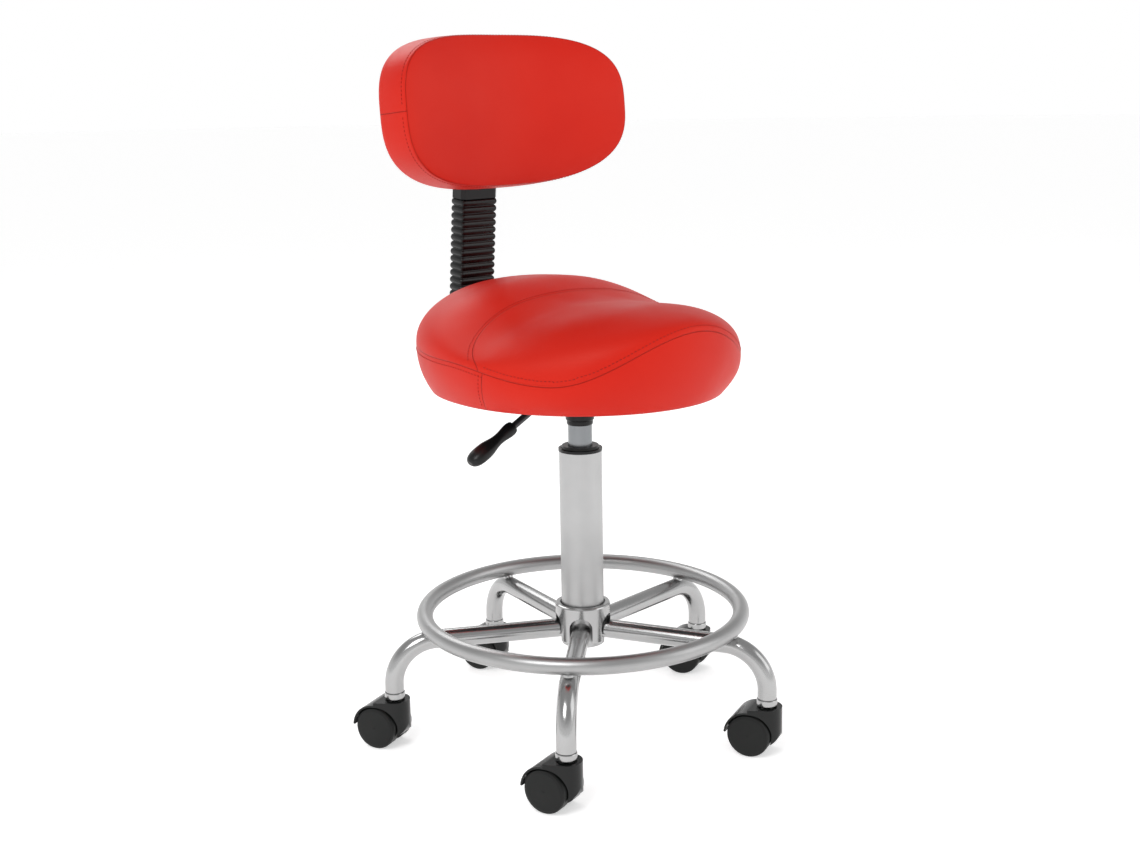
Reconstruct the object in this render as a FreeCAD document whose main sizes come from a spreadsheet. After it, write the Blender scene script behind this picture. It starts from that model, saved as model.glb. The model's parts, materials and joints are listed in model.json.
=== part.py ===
import FreeCAD, Part
import math
import os
import re
import Sketcher

# Rolling stylist stool: saddle seat on a gas lift, padded backrest on a J-shaped flat bar,
# five-legged tubular base with a foot ring and twin-wheel casters.
# Frame: origin on the floor under the column, +Z up, the nose of the seat towards -Y.

SIZES = [
    # base: column, hub, legs and foot ring
    ("columnRadius", 25.0), ("columnWall", 2.0), ("columnBottom", 106.0), ("columnHeight", 234.0),
    ("hubRadius", 32.5), ("hubGap", 1.8), ("hubBottom", 112.5), ("hubHeight", 43.4), ("hubFlange", 5.0),
    ("hubRound", 2.0), ("archHalfWidth", 13.5), ("archRise", 4.8), ("spacerHeight", 7.0),
    ("legCount", 5.0), ("legRadius", 11.0), ("legWall", 1.5), ("legHeight", 125.5), ("legReach", 227.0),
    ("legBend", 50.0), ("legTurn", -45.0), ("ferruleHeight", 7.8), ("ferruleLip", 0.9), ("ferruleGap", 0.7),
    ("plugDepth", 8.5), ("ringRadius", 187.0), ("ringTube", 9.5), ("ringWall", 1.5), ("weldRadius", 6.0),
    ("weldSink", 3.0),
    # gas lift
    ("liftRadius", 14.0), ("liftWall", 1.5), ("liftBottom", 134.0), ("liftShoulder", 376.0),
    ("liftTop", 400.0), ("liftTaper", 1.0), ("liftCap", 6.0), ("rodRadius", 5.0), ("rodHead", 275.0),
    ("rodHeadHeight", 8.0), ("baseDisc", 4.0), ("raceHeight", 3.0), ("raceRadius", 12.0), ("clipHeight", 2.0),
    ("clipGroove", 0.8), ("clipRadius", 8.5), ("valveRadius", 3.0), ("valveLength", 27.0),
    ("bushLength", 78.0), ("collarStep", 3.2), ("collarLip", 0.6), ("stopRadius", 15.3),
    ("stopBottom", 371.0),
    ("stopChamfer", 1.5),
    # fits
    ("runFit", 0.05), ("restGap", 0.1), ("softGap", 0.3), ("pressFit", 0.02),
    # casters
    ("casterTop", 58.5), ("wheelRadius", 25.0), ("wheelWidth", 17.5), ("wheelGap", 5.5), ("wheelCrown", 2.0),
    ("casterTrail", 16.0), ("housingRadius", 17.5), ("hoodWall", 2.2), ("hoodGap", 1.3), ("hoodLow", 14.0),
    ("casterAxle", 3.0), ("stemRadius", 4.0), ("stemUpper", 5.5), ("stemCollar", 7.5), ("stemDepth", 20.0),
    ("cupRadius", 11.0), ("cupDepth", 3.5), ("hoodRest", 1.5), ("hoodEdge", 2.0), ("webInset", 4.0),
    ("casterTurn1", 19.0), ("casterTurn2", 25.0), ("casterTurn3", 21.0), ("casterTurn4", 27.0),
    ("casterTurn5", 25.0),
    # seat
    ("seatHalfWidth", 175.0), ("seatFront", 193.0), ("seatRear", 189.0), ("seatPower", 2.2),
    ("nosePower", 2.0), ("seatBottom", 418.0), ("seatTuck", 0.885), ("boardThick", 12.0),
    ("boardShare", 0.81), ("coverThick", 1.1), ("hemDrop", 3.0), ("seamNose", 500.0),
    ("seamThigh", 449.0), ("seamSide", 465.0), ("seamRear", 473.0),
    ("seamTurn", 50.0),
    ("domeHeight", 536.0), ("midHeight", 513.0), ("noseHeight", 520.0), ("domeFall", 1.0), ("noseFall", 0.75),
    ("topPower", 4.4), ("nosePowerTop", 5.0), ("rollPower", 0.4),
    # seat plate and lever
    ("plateHalfX", 75.0), ("plateHalfY", 62.0), ("plateThick", 3.0), ("boxHalfX", 33.0), ("boxHalfY", 28.0),
    ("boxDepth", 20.0), ("boxWall", 2.5), ("socketRadius", 16.6), ("socketNeck", 2.4),
    ("screwX", 60.0), ("screwY", 48.0),
    ("screwRadius", 3.0), ("screwHead", 5.5), ("screwHeadHeight", 3.0), ("screwLength", 13.0),
    ("leverRadius", 4.0), ("leverHeight", 408.5), ("leverInner", 5.0), ("leverBendX", 44.0),
    ("leverBend", 20.0), ("leverSlope", 28.0), ("leverReach", 71.0), ("gripLength", 68.0),
    ("gripRadius", 7.8), ("gripTip", 11.5), ("pivotX", 26.0), ("pivotRadius", 2.0),
    # backrest bar, clamp and carriage
    ("barWidth", 38.0), ("barThick", 6.0), ("barHeight", 408.0), ("barStart", 52.0), ("barBend", 30.0),
    ("barLean", 5.5), ("uprightY", 203.0), ("uprightZ", 518.0), ("barTop", 205.0),
    ("clampY", 96.0), ("clampLength", 60.0), ("clampWall", 3.7), ("clampFlange", 40.0), ("nutHeight", 7.0),
    ("nutRadius", 8.0), ("knobRadius", 18.0), ("knobHeight", 15.0), ("knobStud", 4.0), ("knobGroove", 5.0),
    ("knobLobes", 6.0),
    ("carriageBottom", 105.0), ("carriageHeight", 94.0), ("shroudWidth", 53.0), ("shroudDepth", 27.0),
    ("shroudRound", 5.0), ("bellowsBottom", -70.0), ("ridgePitch", 8.6), ("ridgeDepth", 2.5),
    ("ridgeCount", 20.0), ("knobAlong", 152.0),
    # backrest pad
    ("backHalfWidth", 159.0), ("backHalfHeight", 86.2), ("backPower", 3.1), ("backPowerLow", 2.8),
    ("backCurve", 350.0), ("backRearCurve", 600.0), ("backY", 131.0), ("backZ", 726.0),
    ("backTilt", 5.0), ("backDepth", 36.0), ("backFlare", 1.03),
    ("backCrown", 16.0), ("backBoard", 9.0), ("backPanel", 2.2), ("panelShare", 0.84), ("bracketHalfX", 45.0),
    ("bracketHalfZ", 32.0), ("bracketThick", 3.0), ("blockHalfX", 19.0), ("blockTop", -9.0),
    ("blockDepth", 20.0),
]

doc = FreeCAD.newDocument("stool")
sheet = doc.addObject("Spreadsheet::Sheet", "dims")
for row, (alias, value) in enumerate(SIZES, start=1):
    sheet.set("A%d" % row, alias)
    sheet.set("B%d" % row, str(value))
    sheet.setAlias("B%d" % row, alias)
doc.recompute()

X_AXIS = FreeCAD.Vector(1, 0, 0)
Y_AXIS = FreeCAD.Vector(0, 1, 0)
Z_AXIS = FreeCAD.Vector(0, 0, 1)
nodes = []


def size(name):
    return float(sheet.get(name))


def formula(text):
    """Turns the sheet's plain names into references to its cells."""
    return re.sub(r"[A-Za-z_]\w*", lambda word: "dims." + word.group(0), text)


def turned(axis, degrees, base=(0, 0, 0)):
    return FreeCAD.Placement(FreeCAD.Vector(*base), FreeCAD.Rotation(axis, degrees))


def newBody(name, placement=None):
    body = doc.addObject("PartDesign::Body", name)
    body.Label = name
    if placement is not None:
        body.Placement = placement
    nodes.append(body)
    return body


def newSketch(body, plane, name):
    sketch = body.newObject("Sketcher::SketchObject", body.Name + "_" + name)
    for feature in body.Origin.OriginFeatures:
        if feature.Role == plane:
            sketch.AttachmentSupport = [(feature, "")]
    sketch.MapMode = "FlatFace"
    return sketch


def fix(sketch, line, end, across, along):
    """Holds one point of a sketch at (across, along), both given as formulas."""
    point = sketch.getPoint(line, end)
    for kind, axis, text, value in (("DistanceX", -2, across, point.x), ("DistanceY", -1, along, point.y)):
        if text == "0":
            sketch.addConstraint(Sketcher.Constraint("PointOnObject", line, end, axis))
        else:
            index = sketch.addConstraint(Sketcher.Constraint(kind, -1, 1, line, end, value))
            sketch.setExpression("Constraints[%d]" % index, formula(text))


def polygon(sketch, points):
    """Adds a closed outline through points given as pairs of formulas."""
    count = len(points)
    first = sketch.GeometryCount
    start = [FreeCAD.Vector(60 + 20 * math.cos(2 * math.pi * k / count),
                            60 + 20 * math.sin(2 * math.pi * k / count), 0) for k in range(count)]
    for k in range(count):
        sketch.addGeometry(Part.LineSegment(start[k], start[(k + 1) % count]), False)
    for k in range(count):
        sketch.addConstraint(Sketcher.Constraint("Coincident", first + k, 2, first + (k + 1) % count, 1))
    for k, (across, along) in enumerate(points):
        fix(sketch, first + k, 1, across, along)


def circle(sketch, radius, across="0", along="0"):
    index = sketch.GeometryCount
    centre = FreeCAD.Vector(0 if across == "0" else 10, 0 if along == "0" else 10, 0)
    sketch.addGeometry(Part.Circle(centre, Z_AXIS, 5.0), False)
    fix(sketch, index, 3, across, along)
    held = sketch.addConstraint(Sketcher.Constraint("Radius", index, 5.0))
    sketch.setExpression("Constraints[%d]" % held, formula(radius))


def rectangle(sketch, halfX, halfY):
    polygon(sketch, [("-(%s)" % halfX, "-(%s)" % halfY), (halfX, "-(%s)" % halfY),
                     (halfX, halfY), ("-(%s)" % halfX, halfY)])


def revolve(body, points, name="profile", plane="XZ_Plane", aside=None):
    """Turns an outline about the body's upright axis, or about an upright line set aside from it."""
    sketch = newSketch(body, plane, name)
    polygon(sketch, points)
    feature = body.newObject("PartDesign::Revolution", body.Name + "_" + name + "_turn")
    feature.Profile = sketch
    if aside is None:
        feature.ReferenceAxis = (sketch, ["V_Axis"])
    else:
        line = sketch.GeometryCount
        sketch.addGeometry(Part.LineSegment(FreeCAD.Vector(50, 10, 0), FreeCAD.Vector(50, 40, 0)), True)
        fix(sketch, line, 1, aside, "0")
        fix(sketch, line, 2, aside, "legReach")
        feature.ReferenceAxis = (sketch, ["Axis0"])
    feature.Angle = 360
    body.Tip = feature
    return feature


def extrude(body, sketch, length, kind="Pad", middle=False, reverse=False, through=False):
    feature = body.newObject("PartDesign::" + kind, sketch.Name + "_" + kind.lower())
    feature.Profile = sketch
    if through:
        feature.Type = "ThroughAll"
    else:
        feature.setExpression("Length", formula(length))
    feature.Midplane = middle
    feature.Reversed = reverse
    body.Tip = feature
    return feature


def polar(body, features, count):
    pattern = body.newObject("PartDesign::PolarPattern", body.Name + "_around")
    pattern.Originals = features
    for feature in body.Origin.OriginFeatures:
        if feature.Role == "Z_Axis":
            pattern.Axis = (feature, [""])
    pattern.Angle = 360
    pattern.setExpression("Occurrences", formula(count))
    body.Tip = pattern
    return pattern


def solidFeature(name, shape, placement=None):
    feature = doc.addObject("Part::Feature", name)
    feature.Label = name
    feature.Shape = shape
    if placement is not None:
        feature.Placement = placement
    nodes.append(feature)
    return feature


def makeHub():
    body = newBody("hub_shell")
    inner = "columnRadius + hubGap"
    revolve(body, [
        (inner, "hubBottom"), ("hubRadius - hubRound * 0.5", "hubBottom"),
        ("hubRadius", "hubBottom + hubRound * 0.5"), ("hubRadius", "hubBottom + hubHeight - hubRound"),
        ("hubRadius - hubRound * 0.3", "hubBottom + hubHeight - hubRound * 0.3"),
        ("hubRadius - hubRound", "hubBottom + hubHeight"), (inner, "hubBottom + hubHeight")])
    arch = newSketch(body, "XZ_Plane", "arch")
    spring = "legHeight + archRise"
    half = size("archHalfWidth")
    low = size("columnBottom")
    high = size("legHeight") + size("archRise")
    # an arch open downwards: upright sides up to the springing and a half circle over them
    arch.addGeometry(Part.ArcOfCircle(Part.Circle(FreeCAD.Vector(0, high, 0), Z_AXIS, half), 0, math.pi))
    corners = [FreeCAD.Vector(x, y, 0) for x, y in ((-half, high), (-half, low), (half, low), (half, high))]
    for start, end in zip(corners, corners[1:]):
        arch.addGeometry(Part.LineSegment(start, end))
    for line in range(4):
        arch.addConstraint(Sketcher.Constraint("Coincident", line, 2, (line + 1) % 4, 1))
    fix(arch, 0, 3, "0", spring)
    fix(arch, 0, 1, "archHalfWidth", spring)
    arch.addConstraint(Sketcher.Constraint("Horizontal", 0, 1, 0, 2))
    fix(arch, 2, 1, "-archHalfWidth", "columnBottom")
    fix(arch, 2, 2, "archHalfWidth", "columnBottom")
    cut = extrude(body, arch, "hubRadius * 2", kind="Pocket", reverse=True)
    polar(body, [cut], "legCount")
    body.Placement = turned(Z_AXIS, size("legTurn"))


def makeColumn():
    inner = "columnRadius - columnWall"
    top = "columnBottom + columnHeight"
    revolve(newBody("column_tube"), [
        (inner, "columnBottom"), ("columnRadius", "columnBottom"), ("columnRadius", top), (inner, top)])
    low = "hubBottom + hubHeight - hubFlange - spacerHeight"
    high = "hubBottom + hubHeight - hubFlange"
    outer = "columnRadius + hubGap - pressFit"
    revolve(newBody("hub_spacer"), [
        ("columnRadius + pressFit", low), (outer, low), (outer, high), ("columnRadius + pressFit", high)])
    revolve(newBody("guide_bush"), [
        ("liftRadius + runFit", top + " - bushLength"), (inner, top + " - bushLength"),
        (inner, top), ("liftRadius + runFit", top)])
    bore = "liftRadius + restGap * 4"
    revolve(newBody("column_collar"), [
        (bore, top), ("columnRadius + collarLip", top), ("columnRadius + collarLip", top + " + collarStep"),
        ("columnRadius - collarLip * 5", top + " + collarStep"),
        ("columnRadius - collarLip * 6", top + " + collarStep * 2"), (bore, top + " + collarStep * 2")])
    hole = "rodRadius + runFit"
    # the bottom disc carries the lower race of the thrust bearing
    revolve(newBody("column_base"), [
        (hole, "columnBottom"), (inner, "columnBottom"), (inner, "columnBottom + baseDisc"),
        ("raceRadius", "columnBottom + baseDisc"), ("raceRadius", "columnBottom + baseDisc + raceHeight"),
        (hole, "columnBottom + baseDisc + raceHeight")])


def makeLegs():
    count = int(size("legCount"))
    height = size("legHeight")
    reach = size("legReach")
    bend = size("legBend")
    foot = size("casterTop") + size("ferruleHeight") + size("ferruleGap")
    centre = FreeCAD.Vector(reach - bend, height - bend, 0)
    for k in range(count):
        body = newBody("leg_%d" % (k + 1), turned(Z_AXIS, size("legTurn") - k * 360.0 / count - 90))
        path = newSketch(body, "XZ_Plane", "path")
        start = FreeCAD.Vector(size("columnRadius") * 0.8, height, 0)
        path.addGeometry(Part.LineSegment(start, FreeCAD.Vector(centre.x, height, 0)))
        path.addGeometry(Part.ArcOfCircle(Part.Circle(centre, Z_AXIS, bend), 0, math.pi / 2))
        path.addGeometry(Part.LineSegment(FreeCAD.Vector(reach, centre.y, 0), FreeCAD.Vector(reach, foot, 0)))
        path.addConstraint(Sketcher.Constraint("Tangent", 0, 2, 1, 2))
        path.addConstraint(Sketcher.Constraint("Tangent", 1, 1, 2, 1))
        held = path.addConstraint(Sketcher.Constraint("Radius", 1, bend))
        path.setExpression("Constraints[%d]" % held, formula("legBend"))
        fix(path, 0, 1, "columnRadius * 0.8", "legHeight")
        path.addConstraint(Sketcher.Constraint("Horizontal", 0))
        fix(path, 2, 2, "legReach", "casterTop + ferruleHeight + ferruleGap")
        # the tube's section stands across the start of its path
        section = newSketch(body, "YZ_Plane", "section")
        section.AttachmentOffset = FreeCAD.Placement()
        section.setExpression("AttachmentOffset.Base.z", formula("columnRadius * 0.8"))
        circle(section, "legRadius", "0", "legHeight")
        circle(section, "legRadius - legWall", "0", "legHeight")
        pipe = body.newObject("PartDesign::AdditivePipe", body.Name + "_pipe")
        pipe.Profile = section
        pipe.Spine = (path, ["Edge1", "Edge2", "Edge3"])
        body.Tip = pipe
        # the inner end is coped to the column
        cope = newSketch(body, "XY_Plane", "cope")
        circle(cope, "columnRadius + runFit")
        extrude(body, cope, "legHeight * 3", kind="Pocket", middle=True)


def patternedTurn(name, points):
    """One turned piece at the foot of each leg, all of them in one body."""
    body = newBody(name, turned(Z_AXIS, size("legTurn") - 90))
    body.AllowCompound = True
    one = revolve(body, points, aside="legReach")
    polar(body, [one], "legCount")
    return body


def makeFeet():
    lip = "legReach + legRadius + ferruleLip"
    plug = "legReach + legRadius - legWall - runFit"
    bore = "legReach + stemUpper + pressFit"
    flange = "casterTop + ferruleHeight"
    patternedTurn("leg_ferrules", [
        (bore, "casterTop"), (lip + " - ferruleLip * 0.5", "casterTop"), (lip, "casterTop + ferruleLip"),
        (lip, flange + " - ferruleLip"), (lip + " - ferruleLip * 0.5", flange), (plug, flange),
        (plug, flange + " + plugDepth"), (bore, flange + " + plugDepth")])
    patternedTurn("caster_stems", [
        ("legReach", "casterTop - stemDepth"), ("legReach + stemRadius", "casterTop - stemDepth"),
        ("legReach + stemRadius", "casterTop - hoodRest"), ("legReach + stemCollar", "casterTop - hoodRest"),
        ("legReach + stemCollar", "casterTop"),
        ("legReach + stemUpper", "casterTop"), ("legReach + stemUpper", flange + " + plugDepth"),
        ("legReach", flange + " + plugDepth")])


def makeRing():
    """Foot ring lying on the legs, with a weld bead in each crossing."""
    legZ = size("legHeight")
    legRadius = size("legRadius")
    ringRadius = size("ringRadius")
    height = legZ + legRadius + size("ringTube")
    solidRing = Part.makeTorus(ringRadius, size("ringTube"))
    bore = Part.makeTorus(ringRadius, size("ringTube") - size("ringWall"))
    place = FreeCAD.Placement(FreeCAD.Vector(0, 0, height), FreeCAD.Rotation())
    solidFeature("foot_ring", solidRing.cut(bore), place)
    solidRing.Placement = place
    straight = size("legReach") - size("legBend")
    leg = Part.makeCylinder(legRadius, straight, FreeCAD.Vector(0, 0, legZ), X_AXIS)
    elbow = FreeCAD.Vector(straight, 0, legZ - size("legBend"))
    bend = Part.makeTorus(size("legBend"), legRadius, elbow, Y_AXIS)
    sink = size("weldSink")
    middle = FreeCAD.Vector(ringRadius - sink / 2, 0, legZ + legRadius - sink / 2)
    bead = Part.makeSphere(size("weldRadius"), middle).cut(solidRing).cut(leg).cut(bend)
    bead = max(bead.Solids, key=lambda piece: piece.Volume)
    beads = []
    for k in range(int(size("legCount"))):
        copy = bead.copy()
        copy.rotate(FreeCAD.Vector(), Z_AXIS, size("legTurn") - k * 360.0 / size("legCount") - 90)
        beads.append(copy)
    solidFeature("ring_welds", Part.makeCompound(beads))


def makeLift():
    shelf = "columnBottom + baseDisc + raceHeight"
    low = "columnBottom - restGap - clipHeight"
    rod = [("0", low + " - clipHeight"), ("rodRadius", low + " - clipHeight"), ("rodRadius", low),
           ("rodRadius - clipGroove", low), ("rodRadius - clipGroove", "columnBottom - restGap"),
           ("rodRadius", "columnBottom - restGap"), ("rodRadius", "rodHead"),
           ("liftRadius - liftWall - runFit", "rodHead"),
           ("liftRadius - liftWall - runFit", "rodHead + rodHeadHeight"), ("0", "rodHead + rodHeadHeight")]
    revolve(newBody("piston_rod"), rod)
    revolve(newBody("bearing_upper"), [
        ("rodRadius", shelf + " + runFit"), ("raceRadius", shelf + " + runFit"),
        ("raceRadius", shelf + " + raceHeight"), ("rodRadius", shelf + " + raceHeight")])
    clip = newBody("rod_clip")
    revolve(clip, [("rodRadius - clipGroove", low), ("clipRadius", low),
                   ("clipRadius", "columnBottom - restGap"),
                   ("rodRadius - clipGroove", "columnBottom - restGap")])
    mouth = newSketch(clip, "XY_Plane", "mouth")
    polygon(mouth, [("-rodRadius * 0.6", "0"), ("rodRadius * 0.6", "0"),
                    ("rodRadius * 0.6", "clipRadius * 1.5"), ("-rodRadius * 0.6", "clipRadius * 1.5")])
    extrude(clip, mouth, "columnBottom * 4", kind="Pocket", middle=True)
    bore = "liftRadius - liftWall"
    pinHole = "valveRadius + runFit"
    revolve(newBody("gas_cylinder"), [
        ("rodRadius + runFit", "liftBottom"), ("liftRadius - liftTaper", "liftBottom"),
        ("liftRadius", "liftBottom + liftTaper"), ("liftRadius", "liftShoulder"),
        ("liftRadius - liftTaper", "liftTop"), (pinHole, "liftTop"), (pinHole, "liftShoulder - liftCap"),
        (bore, "liftShoulder - liftCap"), (bore, "liftBottom + liftCap"),
        ("rodRadius + runFit", "liftBottom + liftCap")])
    top = "leverHeight - leverRadius - restGap"
    revolve(newBody("valve_pin"), [("0", top + " - valveLength"), ("valveRadius", top + " - valveLength"),
                                   ("valveRadius", top), ("0", top)])
    revolve(newBody("stop_ring"), [
        ("liftRadius + pressFit", "stopBottom"), ("(stopRadius + liftRadius) / 2", "stopBottom"),
        ("stopRadius", "stopBottom + stopChamfer"), ("stopRadius", "liftShoulder"),
        ("liftRadius + pressFit", "liftShoulder")])


def makeCaster(number):
    count = int(size("legCount"))
    around = size("legTurn") - (number - 1) * 360.0 / count
    at = FreeCAD.Rotation(Z_AXIS, around - 90).multVec(FreeCAD.Vector(size("legReach"), 0, 0))
    # local +X points along the trail, from the stem to the axle
    place = FreeCAD.Placement(at, FreeCAD.Rotation(Z_AXIS, 90 + size("casterTurn%d" % number)))
    radius = size("wheelRadius")
    trail = size("casterTrail")
    inner = radius + size("hoodGap")
    outer = inner + size("hoodWall")
    half = size("wheelGap") + size("wheelWidth")
    top = size("casterTop") - size("hoodRest")
    axleAt = FreeCAD.Vector(trail, 0, radius)
    low = size("hoodLow")
    arc = Part.makeCylinder(outer, 2 * half, axleAt - Y_AXIS * half, Y_AXIS)
    corner = FreeCAD.Vector(trail - 2 * outer, -2 * half, radius + size("hoodEdge"))
    above = Part.makeBox(4 * outer, 4 * half, 2 * outer, corner)
    # side outline of the stem housing: upright front, rounded in at its foot
    front = size("housingRadius")
    bend = 0.9 * front
    turn = bend * math.sqrt(0.5)
    side = [FreeCAD.Vector(x, 0, z) for x, z in (
        (trail, top), (-front, top), (-front, low + bend), (bend - front - turn, low + bend - turn),
        (bend - front, low), (trail, low))]
    outline = Part.Wire([Part.makeLine(side[0], side[1]), Part.makeLine(side[1], side[2]),
                         Part.Arc(side[2], side[3], side[4]).toShape(), Part.makeLine(side[4], side[5]),
                         Part.makeLine(side[5], side[0])])
    housing = Part.Face(outline).extrude(Y_AXIS * 2 * half)
    housing.translate(Y_AXIS * -half)
    # plan: round about the stem, widening along tangents to the full width over the wheels
    reach = math.hypot(trail, half)
    touch = math.atan2(half, trail) + math.acos(front / reach)
    tangent = FreeCAD.Vector(front * math.cos(touch), front * math.sin(touch), 0)
    mirrored = FreeCAD.Vector(tangent.x, -tangent.y, 0)
    far = trail + 2 * outer
    plan = Part.Wire([
        Part.Arc(tangent, FreeCAD.Vector(-front, 0, 0), mirrored).toShape(),
        Part.makeLine(mirrored, FreeCAD.Vector(trail, -half, 0)),
        Part.makeLine(FreeCAD.Vector(trail, -half, 0), FreeCAD.Vector(far, -half, 0)),
        Part.makeLine(FreeCAD.Vector(far, -half, 0), FreeCAD.Vector(far, half, 0)),
        Part.makeLine(FreeCAD.Vector(far, half, 0), FreeCAD.Vector(trail, half, 0)),
        Part.makeLine(FreeCAD.Vector(trail, half, 0), tangent)])
    prism = Part.Face(plan).extrude(Z_AXIS * 2 * top)
    body = arc.common(above).fuse(housing).common(prism)
    gap = size("wheelGap")
    web = Part.makeCylinder(radius - size("webInset"), 2 * gap, axleAt - Y_AXIS * gap, Y_AXIS)
    body = body.fuse(web)
    for start in (gap, -2 * half):
        body = body.cut(Part.makeCylinder(inner, 2 * half - gap, axleAt + Y_AXIS * start, Y_AXIS))
    axleHole = size("casterAxle") + size("pressFit")
    body = body.cut(Part.makeCylinder(axleHole, 4 * half, axleAt - Y_AXIS * 2 * half, Y_AXIS))
    stemFoot = size("casterTop") - size("stemDepth") - size("softGap")
    cupFoot = top - size("cupDepth")
    for wide, foot in ((size("stemRadius") + size("runFit"), stemFoot), (size("cupRadius"), cupFoot)):
        body = body.cut(Part.makeCylinder(wide, size("casterTop"), FreeCAD.Vector(0, 0, foot)))
    body = max(body.Solids, key=lambda piece: piece.Volume)
    solidFeature("caster_hood_%d" % number, body.removeSplitter(), place)
    axle = doc.addObject("Part::Cylinder", "axle_%d" % number)
    axle.Label = "caster_axle_%d" % number
    axle.setExpression("Radius", formula("casterAxle"))
    axle.setExpression("Height", formula("(wheelGap + wheelWidth) * 2 - wheelCrown * 4"))
    axle.Placement = place.multiply(FreeCAD.Placement(
        FreeCAD.Vector(trail, half - 2 * size("wheelCrown"), radius), FreeCAD.Rotation(X_AXIS, 90)))
    nodes.append(axle)
    for letter, flip in (("a", 0), ("b", 180)):
        local = FreeCAD.Placement(FreeCAD.Vector(trail, 0, radius), FreeCAD.Rotation(Z_AXIS, flip).multiply(
            FreeCAD.Rotation(X_AXIS, -90)))
        wheel = newBody("wheel_%d%s" % (number, letter), place.multiply(local))
        face = "wheelGap + wheelWidth"
        revolve(wheel, [
            ("casterAxle + runFit", "wheelGap + restGap"), ("casterAxle * 2.4", "wheelGap + restGap"),
            ("casterAxle * 2.4", face + " - wheelCrown * 3.4"),
            ("wheelRadius - wheelCrown * 2", face + " - wheelCrown * 3.4"),
            ("wheelRadius - wheelCrown * 2", "wheelGap + restGap * 5"),
            ("wheelRadius - wheelCrown * 0.5", "wheelGap + restGap * 5"),
            ("wheelRadius", "wheelGap + wheelCrown"), ("wheelRadius", face + " - wheelCrown * 1.6"),
            ("wheelRadius - wheelCrown * 0.5", face + " - wheelCrown * 0.7"),
            ("wheelRadius - wheelCrown * 2", face + " - wheelCrown * 0.3"), ("0", face),
            ("0", face + " - wheelCrown * 1.8"), ("casterAxle + runFit", face + " - wheelCrown * 1.8")])


def seatPoint(share, angle):
    """Plan point at this share of the seat's outline; angle 0 is the nose, 90 degrees the +X side."""
    across = abs(math.sin(angle)) / size("seatHalfWidth")
    reach = size("seatFront") if math.cos(angle) > 0 else size("seatRear")
    along = abs(math.cos(angle)) / reach
    power = size("nosePower") if math.cos(angle) > 0 else size("seatPower")
    radius = share * (across ** power + along ** power) ** (-1 / power)
    return radius * math.sin(angle), -radius * math.cos(angle)


def seamHeight(angle):
    """Height of the seam round the top panel: high at the nose, low where the thighs lie."""
    turn = abs(math.degrees(math.atan2(math.sin(angle), math.cos(angle))))
    knots = [(0, size("seamNose")), (size("seamTurn"), size("seamThigh")), (95, size("seamSide")),
             (180, size("seamRear"))]
    for (low, start), (high, end) in zip(knots, knots[1:]):
        if turn <= high:
            share = (1 - math.cos(math.pi * (turn - low) / (high - low))) / 2
            return start + (end - start) * share
    return knots[-1][1]


def between(value, knots):
    """Reading of a table of (place, value) pairs, level at each place and easing over between them."""
    for (low, start), (high, end) in zip(knots, knots[1:]):
        if value <= high:
            share = max(0, (value - low) / (high - low))
            return start + (end - start) * share * share * (3 - 2 * share)
    return knots[-1][1]


def topHeight(share, angle):
    """Height of the padded top: a ridge from nose to rear, rolling over full at the seam."""
    x, y = seatPoint(share, angle)
    ridge = between(y, [(-130, size("noseHeight")), (-30, size("midHeight")), (75, size("domeHeight"))])
    fall = (size("noseFall") + (size("domeFall") - size("noseFall")) * min(1, max(0, (y + 140) / 200))) / 1000
    nose = max(0, math.cos(angle)) ** 4
    full = size("topPower") * (1 - nose) + size("nosePowerTop") * nose
    seam = seamHeight(angle)
    return seam + (ridge - fall * x * x - seam) * max(0, 1 - share ** full) ** size("rollPower")


def ring(points):
    curve = Part.BSplineCurve()
    curve.interpolate([FreeCAD.Vector(*point) for point in points], PeriodicFlag=True)
    return Part.Wire([curve.toShape()])


def seatRing(share, height, count=32):
    points = []
    for k in range(count):
        angle = 2 * math.pi * k / count
        x, y = seatPoint(share, angle)
        points.append((x, y, height(angle) if callable(height) else height))
    return ring(points)


def seatSlab(share, bottom, top):
    face = Part.Face(seatRing(share, bottom))
    return face.extrude(FreeCAD.Vector(0, 0, top - bottom))


def screwSpots():
    return [(sx * size("screwX"), sy * size("screwY")) for sx in (-1, 1) for sy in (-1, 1)]


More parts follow.
